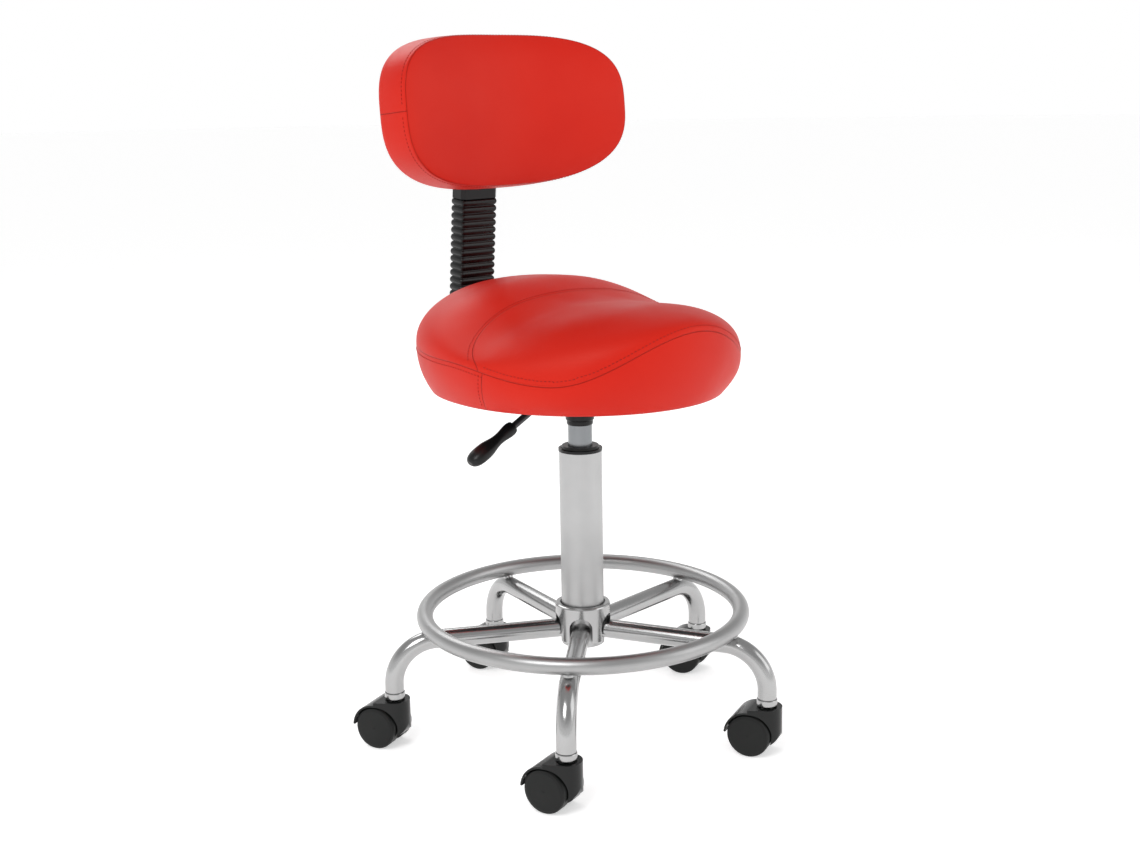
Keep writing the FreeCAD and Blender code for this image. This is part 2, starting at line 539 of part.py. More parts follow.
def makeSeat():
    bottom = size("seatBottom")
    hem = bottom - size("hemDrop")
    rings = [seatRing(size("seatTuck"), hem)]
    tuck = 1 - size("seatTuck")
    for inward, rise in ((0.6, 0.22), (0.22, 0.55)):
        rings.append(seatRing(1 - tuck * inward,
                              lambda angle, rise=rise: hem + (seamHeight(angle) - hem) * rise))
    for share in (1.0, 0.985, 0.95, 0.88, 0.76, 0.6, 0.42, 0.24):
        rings.append(seatRing(share, lambda angle, share=share: topHeight(share, angle)))
    rings.append(seatRing(0.06, topHeight(0.0, 0.0) + 0.2))
    cushion = Part.makeLoft(rings, True, True)
    boardShare = size("boardShare")
    coverBottom = bottom + size("restGap") * 6
    boardBottom = coverBottom + size("coverThick")
    boardTop = boardBottom + size("boardThick")
    recess = seatSlab(boardShare + 0.01, hem - size("boardThick"), boardTop + size("softGap"))
    solidFeature("seat_cushion", cushion.cut(recess))
    board = seatSlab(boardShare, boardBottom, boardTop)
    cover = seatSlab(boardShare, coverBottom, boardBottom)
    for x, y in screwSpots():
        hole = Part.makeCylinder(size("screwRadius"), 40, FreeCAD.Vector(x, y, coverBottom - 20))
        board = board.cut(hole)
        cover = cover.cut(hole)
    solidFeature("seat_board", board)
    solidFeature("seat_undercover", cover)
    plateTop = coverBottom
    screws = []
    for x, y in screwSpots():
        under = plateTop - size("plateThick")
        shank = Part.makeCylinder(size("screwRadius"), size("screwLength"), FreeCAD.Vector(x, y, under))
        head = Part.makeCylinder(size("screwHead"), size("screwHeadHeight"),
                                 FreeCAD.Vector(x, y, under - size("screwHeadHeight")))
        socket = Part.makeCylinder(size("screwRadius") * 0.8, size("screwHeadHeight") * 0.6,
                                   FreeCAD.Vector(x, y, under - size("screwHeadHeight")))
        screws.append(shank.fuse(head).cut(socket).removeSplitter())
    solidFeature("plate_screws", Part.makeCompound(screws))
    return coverBottom


def makePlate(plateTop):
    thick = size("plateThick")
    under = plateTop - thick
    body = newBody("seat_plate", FreeCAD.Placement(FreeCAD.Vector(0, 0, under), FreeCAD.Rotation()))
    plate = newSketch(body, "XY_Plane", "plate")
    rectangle(plate, "plateHalfX", "plateHalfY")
    for sx in ("", "-"):
        for sy in ("", "-"):
            circle(plate, "screwRadius", sx + "screwX", sy + "screwY")
    extrude(body, plate, "plateThick")
    box = newSketch(body, "XY_Plane", "box")
    rectangle(box, "boxHalfX", "boxHalfY")
    rectangle(box, "boxHalfX - boxWall", "boxHalfY - boxWall")
    extrude(body, box, "boxDepth", reverse=True)
    floor = newSketch(body, "XY_Plane", "floor")
    floor.setExpression("AttachmentOffset.Base.z", formula("-boxDepth"))
    rectangle(floor, "boxHalfX", "boxHalfY")
    circle(floor, "liftRadius + socketNeck + pressFit")
    extrude(body, floor, "boxWall", reverse=True)
    slot = newSketch(body, "YZ_Plane", "slot")
    slotHalf = "(leverRadius + boxWall)"
    polygon(slot, [("-" + slotHalf, "-boxDepth * 0.75"), (slotHalf, "-boxDepth * 0.75"),
                   (slotHalf, "-restGap"), ("-" + slotHalf, "-restGap")])
    extrude(body, slot, "boxHalfX * 2", kind="Pocket")
    pin = newSketch(body, "XZ_Plane", "pin")
    drop = under - size("leverHeight")
    pin.AttachmentOffset = FreeCAD.Placement(FreeCAD.Vector(-size("pivotX"), -drop, 0), FreeCAD.Rotation())
    circle(pin, "pivotRadius")
    extrude(body, pin, "boxHalfY * 4", kind="Pocket", middle=True)
    doc.recompute()


def makeSocket(plateTop):
    """Tapered steel socket that the cylinder's cone wedges into, welded under the plate's box."""
    floor = plateTop - size("plateThick") - size("boxDepth") - size("boxWall")
    top = size("liftTop") - size("boxWall")
    low = size("liftShoulder") + size("restGap")
    outer = size("socketRadius")
    chamfer = size("socketNeck") / 2
    neck = size("liftRadius") + size("socketNeck")
    slope = size("liftTaper") / (size("liftTop") - size("liftShoulder"))

    def bore(height):
        return size("liftRadius") - (height - size("liftShoulder")) * slope

    points = [(bore(low), low), (outer - chamfer, low), (outer, low + chamfer), (outer, floor),
              (neck, floor), (neck, top), (bore(top), top)]
    profile = Part.Face(Part.makePolygon([FreeCAD.Vector(r, 0, z) for r, z in points + points[:1]]))
    solidFeature("lift_socket", profile.revolve(FreeCAD.Vector(), Z_AXIS, 360))


def leverTrack():
    """Centre line of the lever: level under the plate, then down towards the grip."""
    height = size("leverHeight")
    slope = math.radians(size("leverSlope"))
    bend = size("leverBend")
    startBend = -size("leverBendX")
    endX = startBend - bend * math.sin(slope)
    endZ = height - bend * (1 - math.cos(slope))
    run = size("leverReach")
    tip = FreeCAD.Vector(endX - run * math.cos(slope), 0, endZ - run * math.sin(slope))
    half = slope / 2
    middle = FreeCAD.Vector(startBend - bend * math.sin(half), 0, height - bend * (1 - math.cos(half)))
    start = FreeCAD.Vector(size("leverInner"), 0, height)
    first = FreeCAD.Vector(startBend, 0, height)
    second = FreeCAD.Vector(endX, 0, endZ)
    direction = FreeCAD.Vector(-math.cos(slope), 0, -math.sin(slope))
    return start, first, middle, second, tip, direction


def makeLever():
    start, first, middle, second, tip, direction = leverTrack()
    grip = size("gripLength")
    inner = tip - direction * (grip * 0.3)
    bend = Part.Arc(first, middle, second).toShape()
    spine = Part.Wire([Part.makeLine(start, first), bend, Part.makeLine(second, tip)])
    section = Part.Wire([Part.makeCircle(size("leverRadius"), start, X_AXIS)])
    rod = spine.makePipeShell([section], True, False)
    hole = Part.makeCylinder(size("pivotRadius") + size("runFit"), 20,
                             FreeCAD.Vector(-size("pivotX"), -10, size("leverHeight")), Y_AXIS)
    solidFeature("lever_rod", rod.cut(hole))
    # a paddle: a round collar that widens and flattens towards its rounded tip
    collar = size("gripRadius")
    wide = size("gripTip")
    sections = []
    for along, half, thick in ((0.0, collar * 0.88, collar * 0.88), (0.05, collar, collar),
                               (0.22, collar * 0.92, collar * 0.88), (0.58, wide * 0.9, wide * 0.74),
                               (0.82, wide, wide * 0.76), (0.95, wide * 0.76, wide * 0.56),
                               (1.0, wide * 0.34, wide * 0.24)):
        centre = inner + direction * (grip * along)
        up = direction.cross(Y_AXIS)
        points = []
        for k in range(20):
            turn = 2 * math.pi * k / 20
            points.append(centre + Y_AXIS * (half * math.cos(turn)) + up * (thick * math.sin(turn)))
        sections.append(ring([(point.x, point.y, point.z) for point in points]))
    paddle = Part.makeLoft(sections, True, False)
    bore = Part.makeCylinder(size("leverRadius"), (tip - inner).Length, inner, direction)
    solidFeature("lever_grip", paddle.cut(bore))
    pin = doc.addObject("Part::Cylinder", "pivot")
    pin.Label = "lever_pin"
    pin.setExpression("Radius", formula("pivotRadius"))
    pin.setExpression("Height", formula("boxHalfY * 2"))
    pin.Placement = FreeCAD.Placement(FreeCAD.Vector(-size("pivotX"), size("boxHalfY"), size("leverHeight")),
                                      FreeCAD.Rotation(X_AXIS, 90))
    nodes.append(pin)


def uprightPlace(along=0.0, behind=0.0):
    frame = turned(X_AXIS, size("barLean"), (0, size("uprightY"), size("uprightZ")))
    return frame.multiply(FreeCAD.Placement(FreeCAD.Vector(0, behind, along), FreeCAD.Rotation()))


def makeBar():
    lean = math.radians(size("barLean"))
    height = size("barHeight")
    topPoint = uprightPlace(size("barTop")).Base
    foot = size("uprightY") + math.tan(lean) * (size("uprightZ") - height)
    bend = size("barBend")
    tangent = bend * math.tan((math.pi / 2 + lean) / 2)
    upward = FreeCAD.Vector(0, -math.sin(lean), math.cos(lean))
    corner = FreeCAD.Vector(0, foot, height)
    start = FreeCAD.Vector(0, size("barStart"), height)
    first = corner - Y_AXIS * tangent
    second = corner + upward * tangent
    centre = first + Z_AXIS * bend
    out = corner - centre
    middle = centre + out * (bend / out.Length)
    spine = Part.Wire([Part.makeLine(start, first), Part.Arc(first, middle, second).toShape(),
                       Part.makeLine(second, topPoint)])
    half = size("barWidth") / 2
    thick = size("barThick") / 2
    corners = [FreeCAD.Vector(sx * half, start.y, height + sz * thick)
               for sx, sz in ((-1, -1), (1, -1), (1, 1), (-1, 1), (-1, -1))]
    bar = spine.makePipeShell([Part.makePolygon(corners)], True, False)
    solidFeature("back_bar", bar)


def makeKnob(name, placement, studLength):
    """Lobed hand knob; local +Z points from the knob along its stud."""
    body = newBody(name, placement)
    revolve(body, [("0", "0"), ("knobRadius * 0.75", "0"), ("knobRadius", "knobHeight * 0.25"),
                   ("knobRadius", "knobHeight * 0.7"), ("knobRadius * 0.6", "knobHeight * 0.8"),
                   ("knobStud * 1.7", "knobHeight"), ("knobStud", "knobHeight"), ("knobStud", studLength),
                   ("0", studLength)])
    groove = newSketch(body, "XY_Plane", "groove")
    circle(groove, "knobGroove", "knobRadius * 1.12", "0")
    cut = extrude(body, groove, "knobHeight * 4", kind="Pocket", middle=True)
    polar(body, [cut], "knobLobes")


def makeClamp(plateTop):
    body = newBody("bar_clamp", FreeCAD.Placement(FreeCAD.Vector(0, size("clampY"), size("barHeight")),
                                                  FreeCAD.Rotation()))
    top = plateTop - size("barHeight")
    section = newSketch(body, "XZ_Plane", "section")
    innerX = "barWidth / 2 + softGap"
    outerX = "barWidth / 2 + softGap + clampWall"
    innerZ = "barThick / 2 + softGap"
    outerZ = "barThick / 2 + softGap + clampWall"
    rectangle(section, outerX, outerZ)
    rectangle(section, innerX, innerZ)
    extrude(body, section, "clampLength", middle=True)
    flange = newSketch(body, "XY_Plane", "flange")
    flange.AttachmentOffset = FreeCAD.Placement(FreeCAD.Vector(0, 0, top), FreeCAD.Rotation())
    rectangle(flange, "clampFlange", "clampLength / 2")
    extrude(body, flange, "plateThick", reverse=True)
    neck = newSketch(body, "XY_Plane", "neck")
    neck.setExpression("AttachmentOffset.Base.z", formula("barThick / 2 + softGap + clampWall * 0.5"))
    rectangle(neck, outerX, "clampLength / 2")
    web = extrude(body, neck, "clampWall")
    web.Length = top - size("barThick") / 2 - size("softGap") - size("clampWall") * 0.5
    web.setExpression("Length", None)
    nut = newSketch(body, "XY_Plane", "nut")
    nut.setExpression("AttachmentOffset.Base.z", formula("-barThick / 2 - softGap"))
    circle(nut, "nutRadius")
    extrude(body, nut, "clampWall + nutHeight", reverse=True)
    hole = newSketch(body, "XY_Plane", "hole")
    hole.setExpression("AttachmentOffset.Base.z", formula("-barThick / 2"))
    circle(hole, "knobStud + runFit")
    extrude(body, hole, "clampWall + nutHeight * 2", kind="Pocket")
    barUnder = size("barHeight") - size("barThick") / 2
    stud = "clampWall + nutHeight + knobHeight + softGap * 3"
    knobZ = barUnder - size("restGap") - (size("clampWall") + size("nutHeight") + size("knobHeight")
                                          + size("softGap") * 3)
    place = FreeCAD.Placement(FreeCAD.Vector(0, size("clampY"), knobZ), FreeCAD.Rotation())
    makeKnob("depth_knob", place, stud)


def roundedPad(body, name, halfX, halfY, length, kind="Pad", start=None):
    sketch = newSketch(body, "XY_Plane", name)
    if start is not None:
        sketch.setExpression("AttachmentOffset.Base.z", formula(start))
    cut = "shroudRound"
    polygon(sketch, [
        ("-(%s) + %s" % (halfX, cut), "-(%s)" % halfY), ("%s - %s" % (halfX, cut), "-(%s)" % halfY),
        (halfX, "-(%s) + %s" % (halfY, cut)), (halfX, "%s - %s" % (halfY, cut)),
        ("%s - %s" % (halfX, cut), halfY), ("-(%s) + %s" % (halfX, cut), halfY),
        ("-(%s)" % halfX, "%s - %s" % (halfY, cut)), ("-(%s)" % halfX, "-(%s) + %s" % (halfY, cut))])
    return extrude(body, sketch, length, kind=kind)


def makeCarriage():
    body = newBody("back_carriage", uprightPlace(size("carriageBottom")))
    roundedPad(body, "shroud", "shroudWidth / 2", "shroudDepth / 2", "carriageHeight")
    slot = newSketch(body, "XY_Plane", "slot")
    rectangle(slot, "barWidth / 2 + softGap", "barThick / 2 + softGap")
    extrude(body, slot, "carriageHeight * 4", kind="Pocket", middle=True)
    hole = newSketch(body, "XZ_Plane", "hole")
    hole.setExpression("AttachmentOffset.Base.y", formula("knobAlong - carriageBottom"))
    circle(hole, "knobStud + runFit")
    extrude(body, hole, "shroudDepth * 2", kind="Pocket")
    stud = "knobHeight + shroudDepth / 2 - barThick / 2 + softGap * 2"
    gap = size("shroudDepth") / 2 + size("softGap") * 3
    place = uprightPlace(size("knobAlong"), gap + size("knobHeight"))
    place = place.multiply(FreeCAD.Placement(FreeCAD.Vector(), FreeCAD.Rotation(X_AXIS, 90)))
    makeKnob("height_knob", place, stud)


def makeBellows():
    body = newBody("bellows", uprightPlace(size("bellowsBottom")))
    coreX = "shroudWidth / 2 - ridgeDepth"
    coreY = "shroudDepth / 2 - ridgeDepth"
    span = "carriageBottom - restGap - bellowsBottom"
    roundedPad(body, "core", coreX, coreY, span)
    first = roundedPad(body, "ridge", "shroudWidth / 2", "shroudDepth / 2", "ridgePitch / 2",
                       start="ridgePitch / 4")
    rows = body.newObject("PartDesign::LinearPattern", "bellows_rows")
    rows.Originals = [first]
    for feature in body.Origin.OriginFeatures:
        if feature.Role == "Z_Axis":
            rows.Direction = (feature, [""])
    rows.setExpression("Length", formula("ridgePitch * (ridgeCount - 1)"))
    rows.setExpression("Occurrences", formula("ridgeCount"))
    body.Tip = rows
    slot = newSketch(body, "XY_Plane", "slot")
    rectangle(slot, "barWidth / 2 + softGap * 2", "barThick / 2 + softGap * 2")
    extrude(body, slot, "uprightZ * 2", kind="Pocket", middle=True)


def backPlace():
    return turned(X_AXIS, -size("backTilt"), (0, size("backY"), size("backZ")))


def backBow(x, depth):
    """How far the pad's sides come forward; the front is bowed more than the rear."""
    share = min(1, max(0, depth / size("backDepth")))
    curve = 1 / size("backCurve") * (1 - share) + 1 / size("backRearCurve") * share
    return x * x * curve / 2


def backPoint(share, angle, depth, flat=False):
    """Point of the pad's outline; depth runs back from the seam of the front panel."""
    power = 2 / (size("backPower") if math.sin(angle) > 0 else size("backPowerLow"))
    cosine = math.cos(angle)
    sine = math.sin(angle)
    x = share * size("backHalfWidth") * math.copysign(abs(cosine) ** power, cosine)
    z = share * size("backHalfHeight") * math.copysign(abs(sine) ** power, sine)
    return x, depth - (0 if flat else backBow(x, depth)), z


def backRing(share, depth, flat=False, count=40):
    return ring([backPoint(share, 2 * math.pi * (k + 0.5) / count, depth, flat) for k in range(count)])


def backSlab(share, start, end):
    """Curved slab between two depths behind the front seam, cut to the pad's outline."""
    curve = size("backRearCurve")
    block = Part.Face(backRing(share, -100, flat=True)).extrude(FreeCAD.Vector(0, 250, 0))
    tall = size("backHalfHeight") * 4
    outer = Part.makeCylinder(curve, tall, FreeCAD.Vector(0, end - curve, -tall / 2))
    inner = Part.makeCylinder(curve, tall, FreeCAD.Vector(0, start - curve, -tall / 2))
    return block.common(outer).cut(inner)


def makeBackrest():
    depth = size("backDepth")
    panel = size("backPanel")
    crown = size("backCrown")
    flare = size("backFlare")
    rings = [backRing(0.06, depth - 0.2, flat=True), backRing(0.5, depth), backRing(flare - 0.03, depth),
             backRing(flare, depth - 3), backRing(1.0, 0)]
    for share in (0.95, 0.86, 0.72, 0.5, 0.28):
        rings.append(backRing(share, -crown * (1 - share ** 3)))
    rings.append(backRing(0.06, -crown - 0.1, flat=True))
    cushion = Part.makeLoft(rings, True, True)
    share = size("panelShare")
    board = size("backBoard")
    recess = backSlab(share + 0.012, depth - panel - board - size("softGap"), depth + 8)
    solidFeature("back_cushion", cushion.cut(recess), backPlace())
    solidFeature("back_board", backSlab(share, depth - panel - board, depth - panel), backPlace())
    solidFeature("back_panel", backSlab(share, depth - panel, depth), backPlace())
    halfZ = size("bracketHalfZ")
    front = depth + size("restGap")
    plate = Part.makeBox(2 * size("bracketHalfX"), size("bracketThick"), 2 * halfZ,
                         FreeCAD.Vector(-size("bracketHalfX"), front, -halfZ))
    block = Part.makeBox(2 * size("blockHalfX"), size("blockDepth"), halfZ + size("blockTop"),
                         FreeCAD.Vector(-size("blockHalfX"), front, -halfZ))
    bracket = plate.fuse(block)
    bracket.Placement = backPlace()
    keep = Part.makeBox(200, 200, 400, FreeCAD.Vector(-100, -size("shroudDepth") / 2, -200))
    keep.Placement = uprightPlace(size("carriageBottom"))
    solidFeature("back_bracket", bracket.cut(keep).removeSplitter())


makeHub()
makeColumn()
makeLegs()
makeFeet()
makeRing()
makeLift()
for number in range(1, int(size("legCount")) + 1):
    makeCaster(number)
plateTop = makeSeat()
makePlate(plateTop)
makeSocket(plateTop)
makeLever()
makeBar()
makeClamp(plateTop)
makeCarriage()
makeBellows()
makeBackrest()

doc.recompute()
problems = [item.Label + " " + ", ".join(item.State) for item in doc.Objects
            if "Invalid" in item.State or "Error" in item.State]
for node in nodes:
    if node.Shape.isNull() or not node.Shape.isValid():
        problems.append(node.Label + " has no valid shape")
if problems:
    raise SystemExit("\n".join(problems))

os.makedirs("parts", exist_ok=True)
for node in nodes:
    node.Shape.exportStep(os.path.join("parts", node.Label + ".step"))
print("%d sub-parts" % len(nodes))
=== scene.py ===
import json
import math

import bpy
import numpy as np
from mathutils import Matrix, Vector
from mathutils.bvhtree import BVHTree


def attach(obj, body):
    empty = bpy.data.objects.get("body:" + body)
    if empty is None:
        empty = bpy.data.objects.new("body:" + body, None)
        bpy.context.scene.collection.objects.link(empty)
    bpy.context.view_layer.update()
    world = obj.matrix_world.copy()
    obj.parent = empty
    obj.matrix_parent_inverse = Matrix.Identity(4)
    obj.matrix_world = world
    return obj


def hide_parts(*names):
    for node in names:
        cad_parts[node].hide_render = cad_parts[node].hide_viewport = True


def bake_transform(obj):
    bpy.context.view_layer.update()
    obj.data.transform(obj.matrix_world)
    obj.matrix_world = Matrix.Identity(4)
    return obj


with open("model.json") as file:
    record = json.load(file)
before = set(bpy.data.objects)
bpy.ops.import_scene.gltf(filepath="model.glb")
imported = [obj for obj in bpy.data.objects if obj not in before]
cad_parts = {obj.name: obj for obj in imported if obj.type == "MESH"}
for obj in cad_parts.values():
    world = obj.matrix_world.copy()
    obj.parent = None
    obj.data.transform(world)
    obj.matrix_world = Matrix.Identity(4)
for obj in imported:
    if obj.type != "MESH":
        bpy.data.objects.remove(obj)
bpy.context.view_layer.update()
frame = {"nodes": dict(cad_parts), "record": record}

# Rolling stylist stool. Shapes below are worked out in millimetres and put into metres by addPiece.
nodes = frame["nodes"]
scene = bpy.context.scene
farAway = 60.0  # stands for no seam near, where a panel doesn't meet it


def addPiece(name, points, faces, body, material):
    mesh = bpy.data.meshes.new(name)
    mesh.from_pydata((np.asarray(points) * 0.001).tolist(), [], [[int(i) for i in face] for face in faces])
    mesh.polygons.foreach_set("use_smooth", np.full(len(mesh.polygons), True))
    mesh.update()
    piece = bpy.data.objects.new(name, mesh)
    scene.collection.objects.link(piece)
    piece.data.materials.append(material)
    if body is not None:
        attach(piece, body)
    return piece


def gridFaces(rows, columns):
    # quads between neighbouring rows of a grid whose columns run round a closed loop
    r = np.arange(rows - 1)[:, None]
    c = np.arange(columns)[None, :]
    following = (c + 1) % columns
    quad = np.stack([r * columns + c + 0 * r, r * columns + following, (r + 1) * columns + following,
                     (r + 1) * columns + c], axis=-1)
    return quad.reshape(-1, 4)


def poleFaces(centre, row, columns, flip=False):
    # triangles from one centre point to a row of the grid
    c = np.arange(columns)
    following = (c + 1) % columns
    fan = np.stack([np.full(columns, centre), row * columns + c, row * columns + following], axis=-1)
    return fan[:, ::-1] if flip else fan


def closedShell(rows, low, high):
    # rows: (n, m, 3) loops from one end to the other, closed by the points low and high
    count, columns = rows.shape[:2]
    points = np.concatenate([rows.reshape(-1, 3), [low], [high]])
    faces = [list(f) for f in gridFaces(count, columns)]
    faces += [list(f) for f in poleFaces(count * columns, 0, columns, flip=True)]
    faces += [list(f) for f in poleFaces(count * columns + 1, count - 1, columns)]
    return points, faces


def setAttribute(piece, name, values):
    attribute = piece.data.attributes.new(name, "FLOAT", "POINT")
    attribute.data.foreach_set("value", np.asarray(values, np.float32).ravel())


def vertexArray(piece):
    co = np.zeros(len(piece.data.vertices) * 3, np.float32)
    piece.data.vertices.foreach_get("co", co)
    return co.reshape(-1, 3).astype(float)


def nearPath(points, path):
    # distance of each point from a polyline given by closely spaced points
    out = np.empty(len(points))
    for start in range(0, len(points), 4000):
        part = points[start:start + 4000]
        out[start:start + 4000] = np.sqrt(((part[:, None, :] - path[None, :, :]) ** 2).sum(-1)).min(1)
    return out


def blankMaterial(name):
    material = bpy.data.materials.new(name)
    material.use_nodes = True
    tree = material.node_tree
    shader = tree.nodes["Principled BSDF"]
    return material, tree, shader


def ramp(tree, source, stops):
    node = tree.nodes.new("ShaderNodeValToRGB")
    elements = node.color_ramp.elements
    while len(elements) < len(stops):
        elements.new(0.5)
    for element, (place, colour) in zip(elements, stops):
        element.position = place
        element.color = colour if len(colour) == 4 else (*colour, 1)
    tree.links.new(source, node.inputs["Fac"])
    return node.outputs["Color"]


def noise(tree, scale, detail=3.0, distortion=0.0, stretch=None):
    coordinates = tree.nodes.new("ShaderNodeTexCoord").outputs["Object"]
    if stretch is not None:
        mapping = tree.nodes.new("ShaderNodeMapping")
        mapping.inputs["Scale"].default_value = stretch
        tree.links.new(coordinates, mapping.inputs["Vector"])
        coordinates = mapping.outputs["Vector"]
    node = tree.nodes.new("ShaderNodeTexNoise")
    node.inputs["Scale"].default_value = scale
    node.inputs["Detail"].default_value = detail
    node.inputs["Distortion"].default_value = distortion
    tree.links.new(coordinates, node.inputs["Vector"])
    return node.outputs["Fac"]


def maths(tree, operation, first, second=None, third=None):
    node = tree.nodes.new("ShaderNodeMath")
    node.operation = operation
    for index, value in enumerate((first, second, third)):
        if value is None:
            continue
        if isinstance(value, (int, float)):
            node.inputs[index].default_value = value
        else:
            tree.links.new(value, node.inputs[index])
    return node.outputs[0]


def smoothBand(tree, source, near, far):
    # 1 where the source is under near, 0 where it is over far, smooth between
    node = tree.nodes.new("ShaderNodeMapRange")
    node.interpolation_type = "SMOOTHSTEP"
    node.inputs["From Min"].default_value = near
    node.inputs["From Max"].default_value = far
    node.inputs["To Min"].default_value = 1.0
    node.inputs["To Max"].default_value = 0.0
    tree.links.new(source, node.inputs["Value"])
    return node.outputs["Result"]


def bump(tree, shader, height, distance, strength=1.0, below=None):
    node = tree.nodes.new("ShaderNodeBump")
    node.inputs["Strength"].default_value = strength
    node.inputs["Distance"].default_value = distance
    tree.links.new(height, node.inputs["Height"])
    if below is not None:
        tree.links.new(below, node.inputs["Normal"])
    tree.links.new(node.outputs["Normal"], shader.inputs["Normal"])
    return node.outputs["Normal"]


def mixColour(tree, factor, first, second):
    node = tree.nodes.new("ShaderNodeMix")
    node.data_type = "RGBA"
    tree.links.new(factor, node.inputs[0])
    for index, value in ((6, first), (7, second)):
        if isinstance(value, tuple):
            node.inputs[index].default_value = (*value, 1)
        else:
            tree.links.new(value, node.inputs[index])
    return node.outputs[2]


vinyl = {
    # light and deep are the vinyl's own tones, mixed at random; seam is the colour of the painted shade in
    # the seam grooves
    "light": (0.59, 0.016, 0.007), "deep": (0.55, 0.010, 0.004), "seam": (0.25, 0.004, 0.003),
    "seamShade": 0.5,
    "roughness": 0.46, "roughSpread": 0.16, "specular": 0.22, "tint": (1.0, 0.72, 0.60, 1.0),
    "grain": 1150.0, "fineGrain": 700.0, "grainDepth": 0.00012, "line": (0.1, 0.7), "pull": (0.5, 9.0),
    "pucker": 95.0, "wave": 14.0, "waveDepth": 0.0008, "grooveDepth": 0.0008,
}


def makeVinyl(name, seams):
    # seams names the attributes that hold the distance from a sewn line in millimetres; the groove and the
    # pull are the largest of the smooth bands round those lines
    material, tree, shader = blankMaterial(name)
    cloud = noise(tree, 9.0, 2.0)
    colour = ramp(tree, cloud, [(0.2, vinyl["deep"]), (0.8, vinyl["light"])])
    groove = 0.0
    pull = 0.0
    for seam in seams:
        attribute = tree.nodes.new("ShaderNodeAttribute")
        attribute.attribute_name = seam
        away = maths(tree, "ABSOLUTE", attribute.outputs["Fac"])
        groove = maths(tree, "MAXIMUM", groove, smoothBand(tree, away, *vinyl["line"]))
        pull = maths(tree, "MAXIMUM", pull, smoothBand(tree, away, *vinyl["pull"]))
    # painted shade: inside each seam's groove the colour is drawn halfway towards the dark seam colour
    shade = maths(tree, "MULTIPLY", groove, vinyl["seamShade"])
    tree.links.new(mixColour(tree, shade, colour, vinyl["seam"]), shader.inputs["Base Color"])
    spread = vinyl["roughSpread"]
    rough = maths(tree, "MULTIPLY_ADD", noise(tree, 26.0, 4.0), spread, vinyl["roughness"] - spread / 2)
    tree.links.new(rough, shader.inputs["Roughness"])
    shader.inputs["Specular IOR Level"].default_value = vinyl["specular"]
    shader.inputs["Specular Tint"].default_value = vinyl["tint"]
    # leather grain: small rounded cells and a finer noise over them
    coordinates = tree.nodes.new("ShaderNodeTexCoord").outputs["Object"]
    cells = tree.nodes.new("ShaderNodeTexVoronoi")
    cells.feature = "DISTANCE_TO_EDGE"
    cells.inputs["Scale"].default_value = vinyl["grain"]
    tree.links.new(coordinates, cells.inputs["Vector"])
    rounded = smoothBand(tree, cells.outputs["Distance"], 0.0, 0.35)
    grain = maths(tree, "ADD", rounded, noise(tree, vinyl["fineGrain"], 2.0))
    normal = bump(tree, shader, maths(tree, "MULTIPLY", grain, -1.0), vinyl["grainDepth"], 0.35)
    # broad waves, and short puckers beside the seams
    crease = maths(tree, "SUBTRACT", noise(tree, vinyl["pucker"], 2.0), 0.5)
    wave = maths(tree, "MULTIPLY", noise(tree, vinyl["wave"], 1.5), 0.6)
    waves = maths(tree, "ADD", wave, maths(tree, "MULTIPLY", crease, pull))
    normal = bump(tree, shader, waves, vinyl["waveDepth"], 0.6, below=normal)
    bump(tree, shader, maths(tree, "MULTIPLY", groove, -1.0), vinyl["grooveDepth"], below=normal)
    return material


metal = {"grain": 900.0, "depth": 0.00002, "darkest": 0.9}


def makeMetal(name, colour, roughness, streak, stretch=(1, 1, 0.02)):
    # roughness = middle + streak * (1.2 * fine noise + 0.8 * broad noise - 1); the fine noise is drawn out by
    # stretch
    material, tree, shader = blankMaterial(name)
    shader.inputs["Metallic"].default_value = 1.0
    fine = noise(tree, metal["grain"], 2.0, stretch=stretch)
    broad = noise(tree, 18.0, 3.0)
    darker = tuple(c * metal["darkest"] for c in colour)
    tree.links.new(ramp(tree, broad, [(0.3, darker), (0.7, colour)]), shader.inputs["Base Color"])
    mixed = maths(tree, "ADD", maths(tree, "MULTIPLY", fine, 0.6), maths(tree, "MULTIPLY", broad, 0.4))
    spread = maths(tree, "MULTIPLY_ADD", mixed, streak * 2, roughness - streak)
    tree.links.new(spread, shader.inputs["Roughness"])
    bump(tree, shader, fine, metal["depth"], 0.5)
    return material


def makePlastic(name, colour, roughness, grain=600.0, depth=0.00008, coat=0.0, specular=0.5):
    # roughness = middle + 0.12 * broad noise - 0.05, over a fine moulded grain
    material, tree, shader = blankMaterial(name)
    broad = noise(tree, 12.0, 3.0)
    lighter = tuple(c * 1.35 + 0.002 for c in colour)
    tree.links.new(ramp(tree, broad, [(0.3, colour), (0.75, lighter)]), shader.inputs["Base Color"])
    fine = noise(tree, grain, 3.0)
    spread = maths(tree, "MULTIPLY_ADD", broad, 0.12, roughness - 0.05)
    tree.links.new(spread, shader.inputs["Roughness"])
    shader.inputs["Coat Weight"].default_value = coat
    shader.inputs["Specular IOR Level"].default_value = specular
    bump(tree, shader, fine, depth, 0.6)
    return material


def makePlywood():
    # a noise drawn out into long bands is both the colour and the height
    material, tree, shader = blankMaterial("plywood")
    rings = noise(tree, 30.0, 5.0, distortion=1.2, stretch=(1, 6, 14))
    tree.links.new(ramp(tree, rings, [(0.3, (0.33, 0.21, 0.11)), (0.7, (0.58, 0.42, 0.26))]),
                   shader.inputs["Base Color"])
    shader.inputs["Roughness"].default_value = 0.75
    bump(tree, shader, rings, 0.0003, 0.4)
    return material


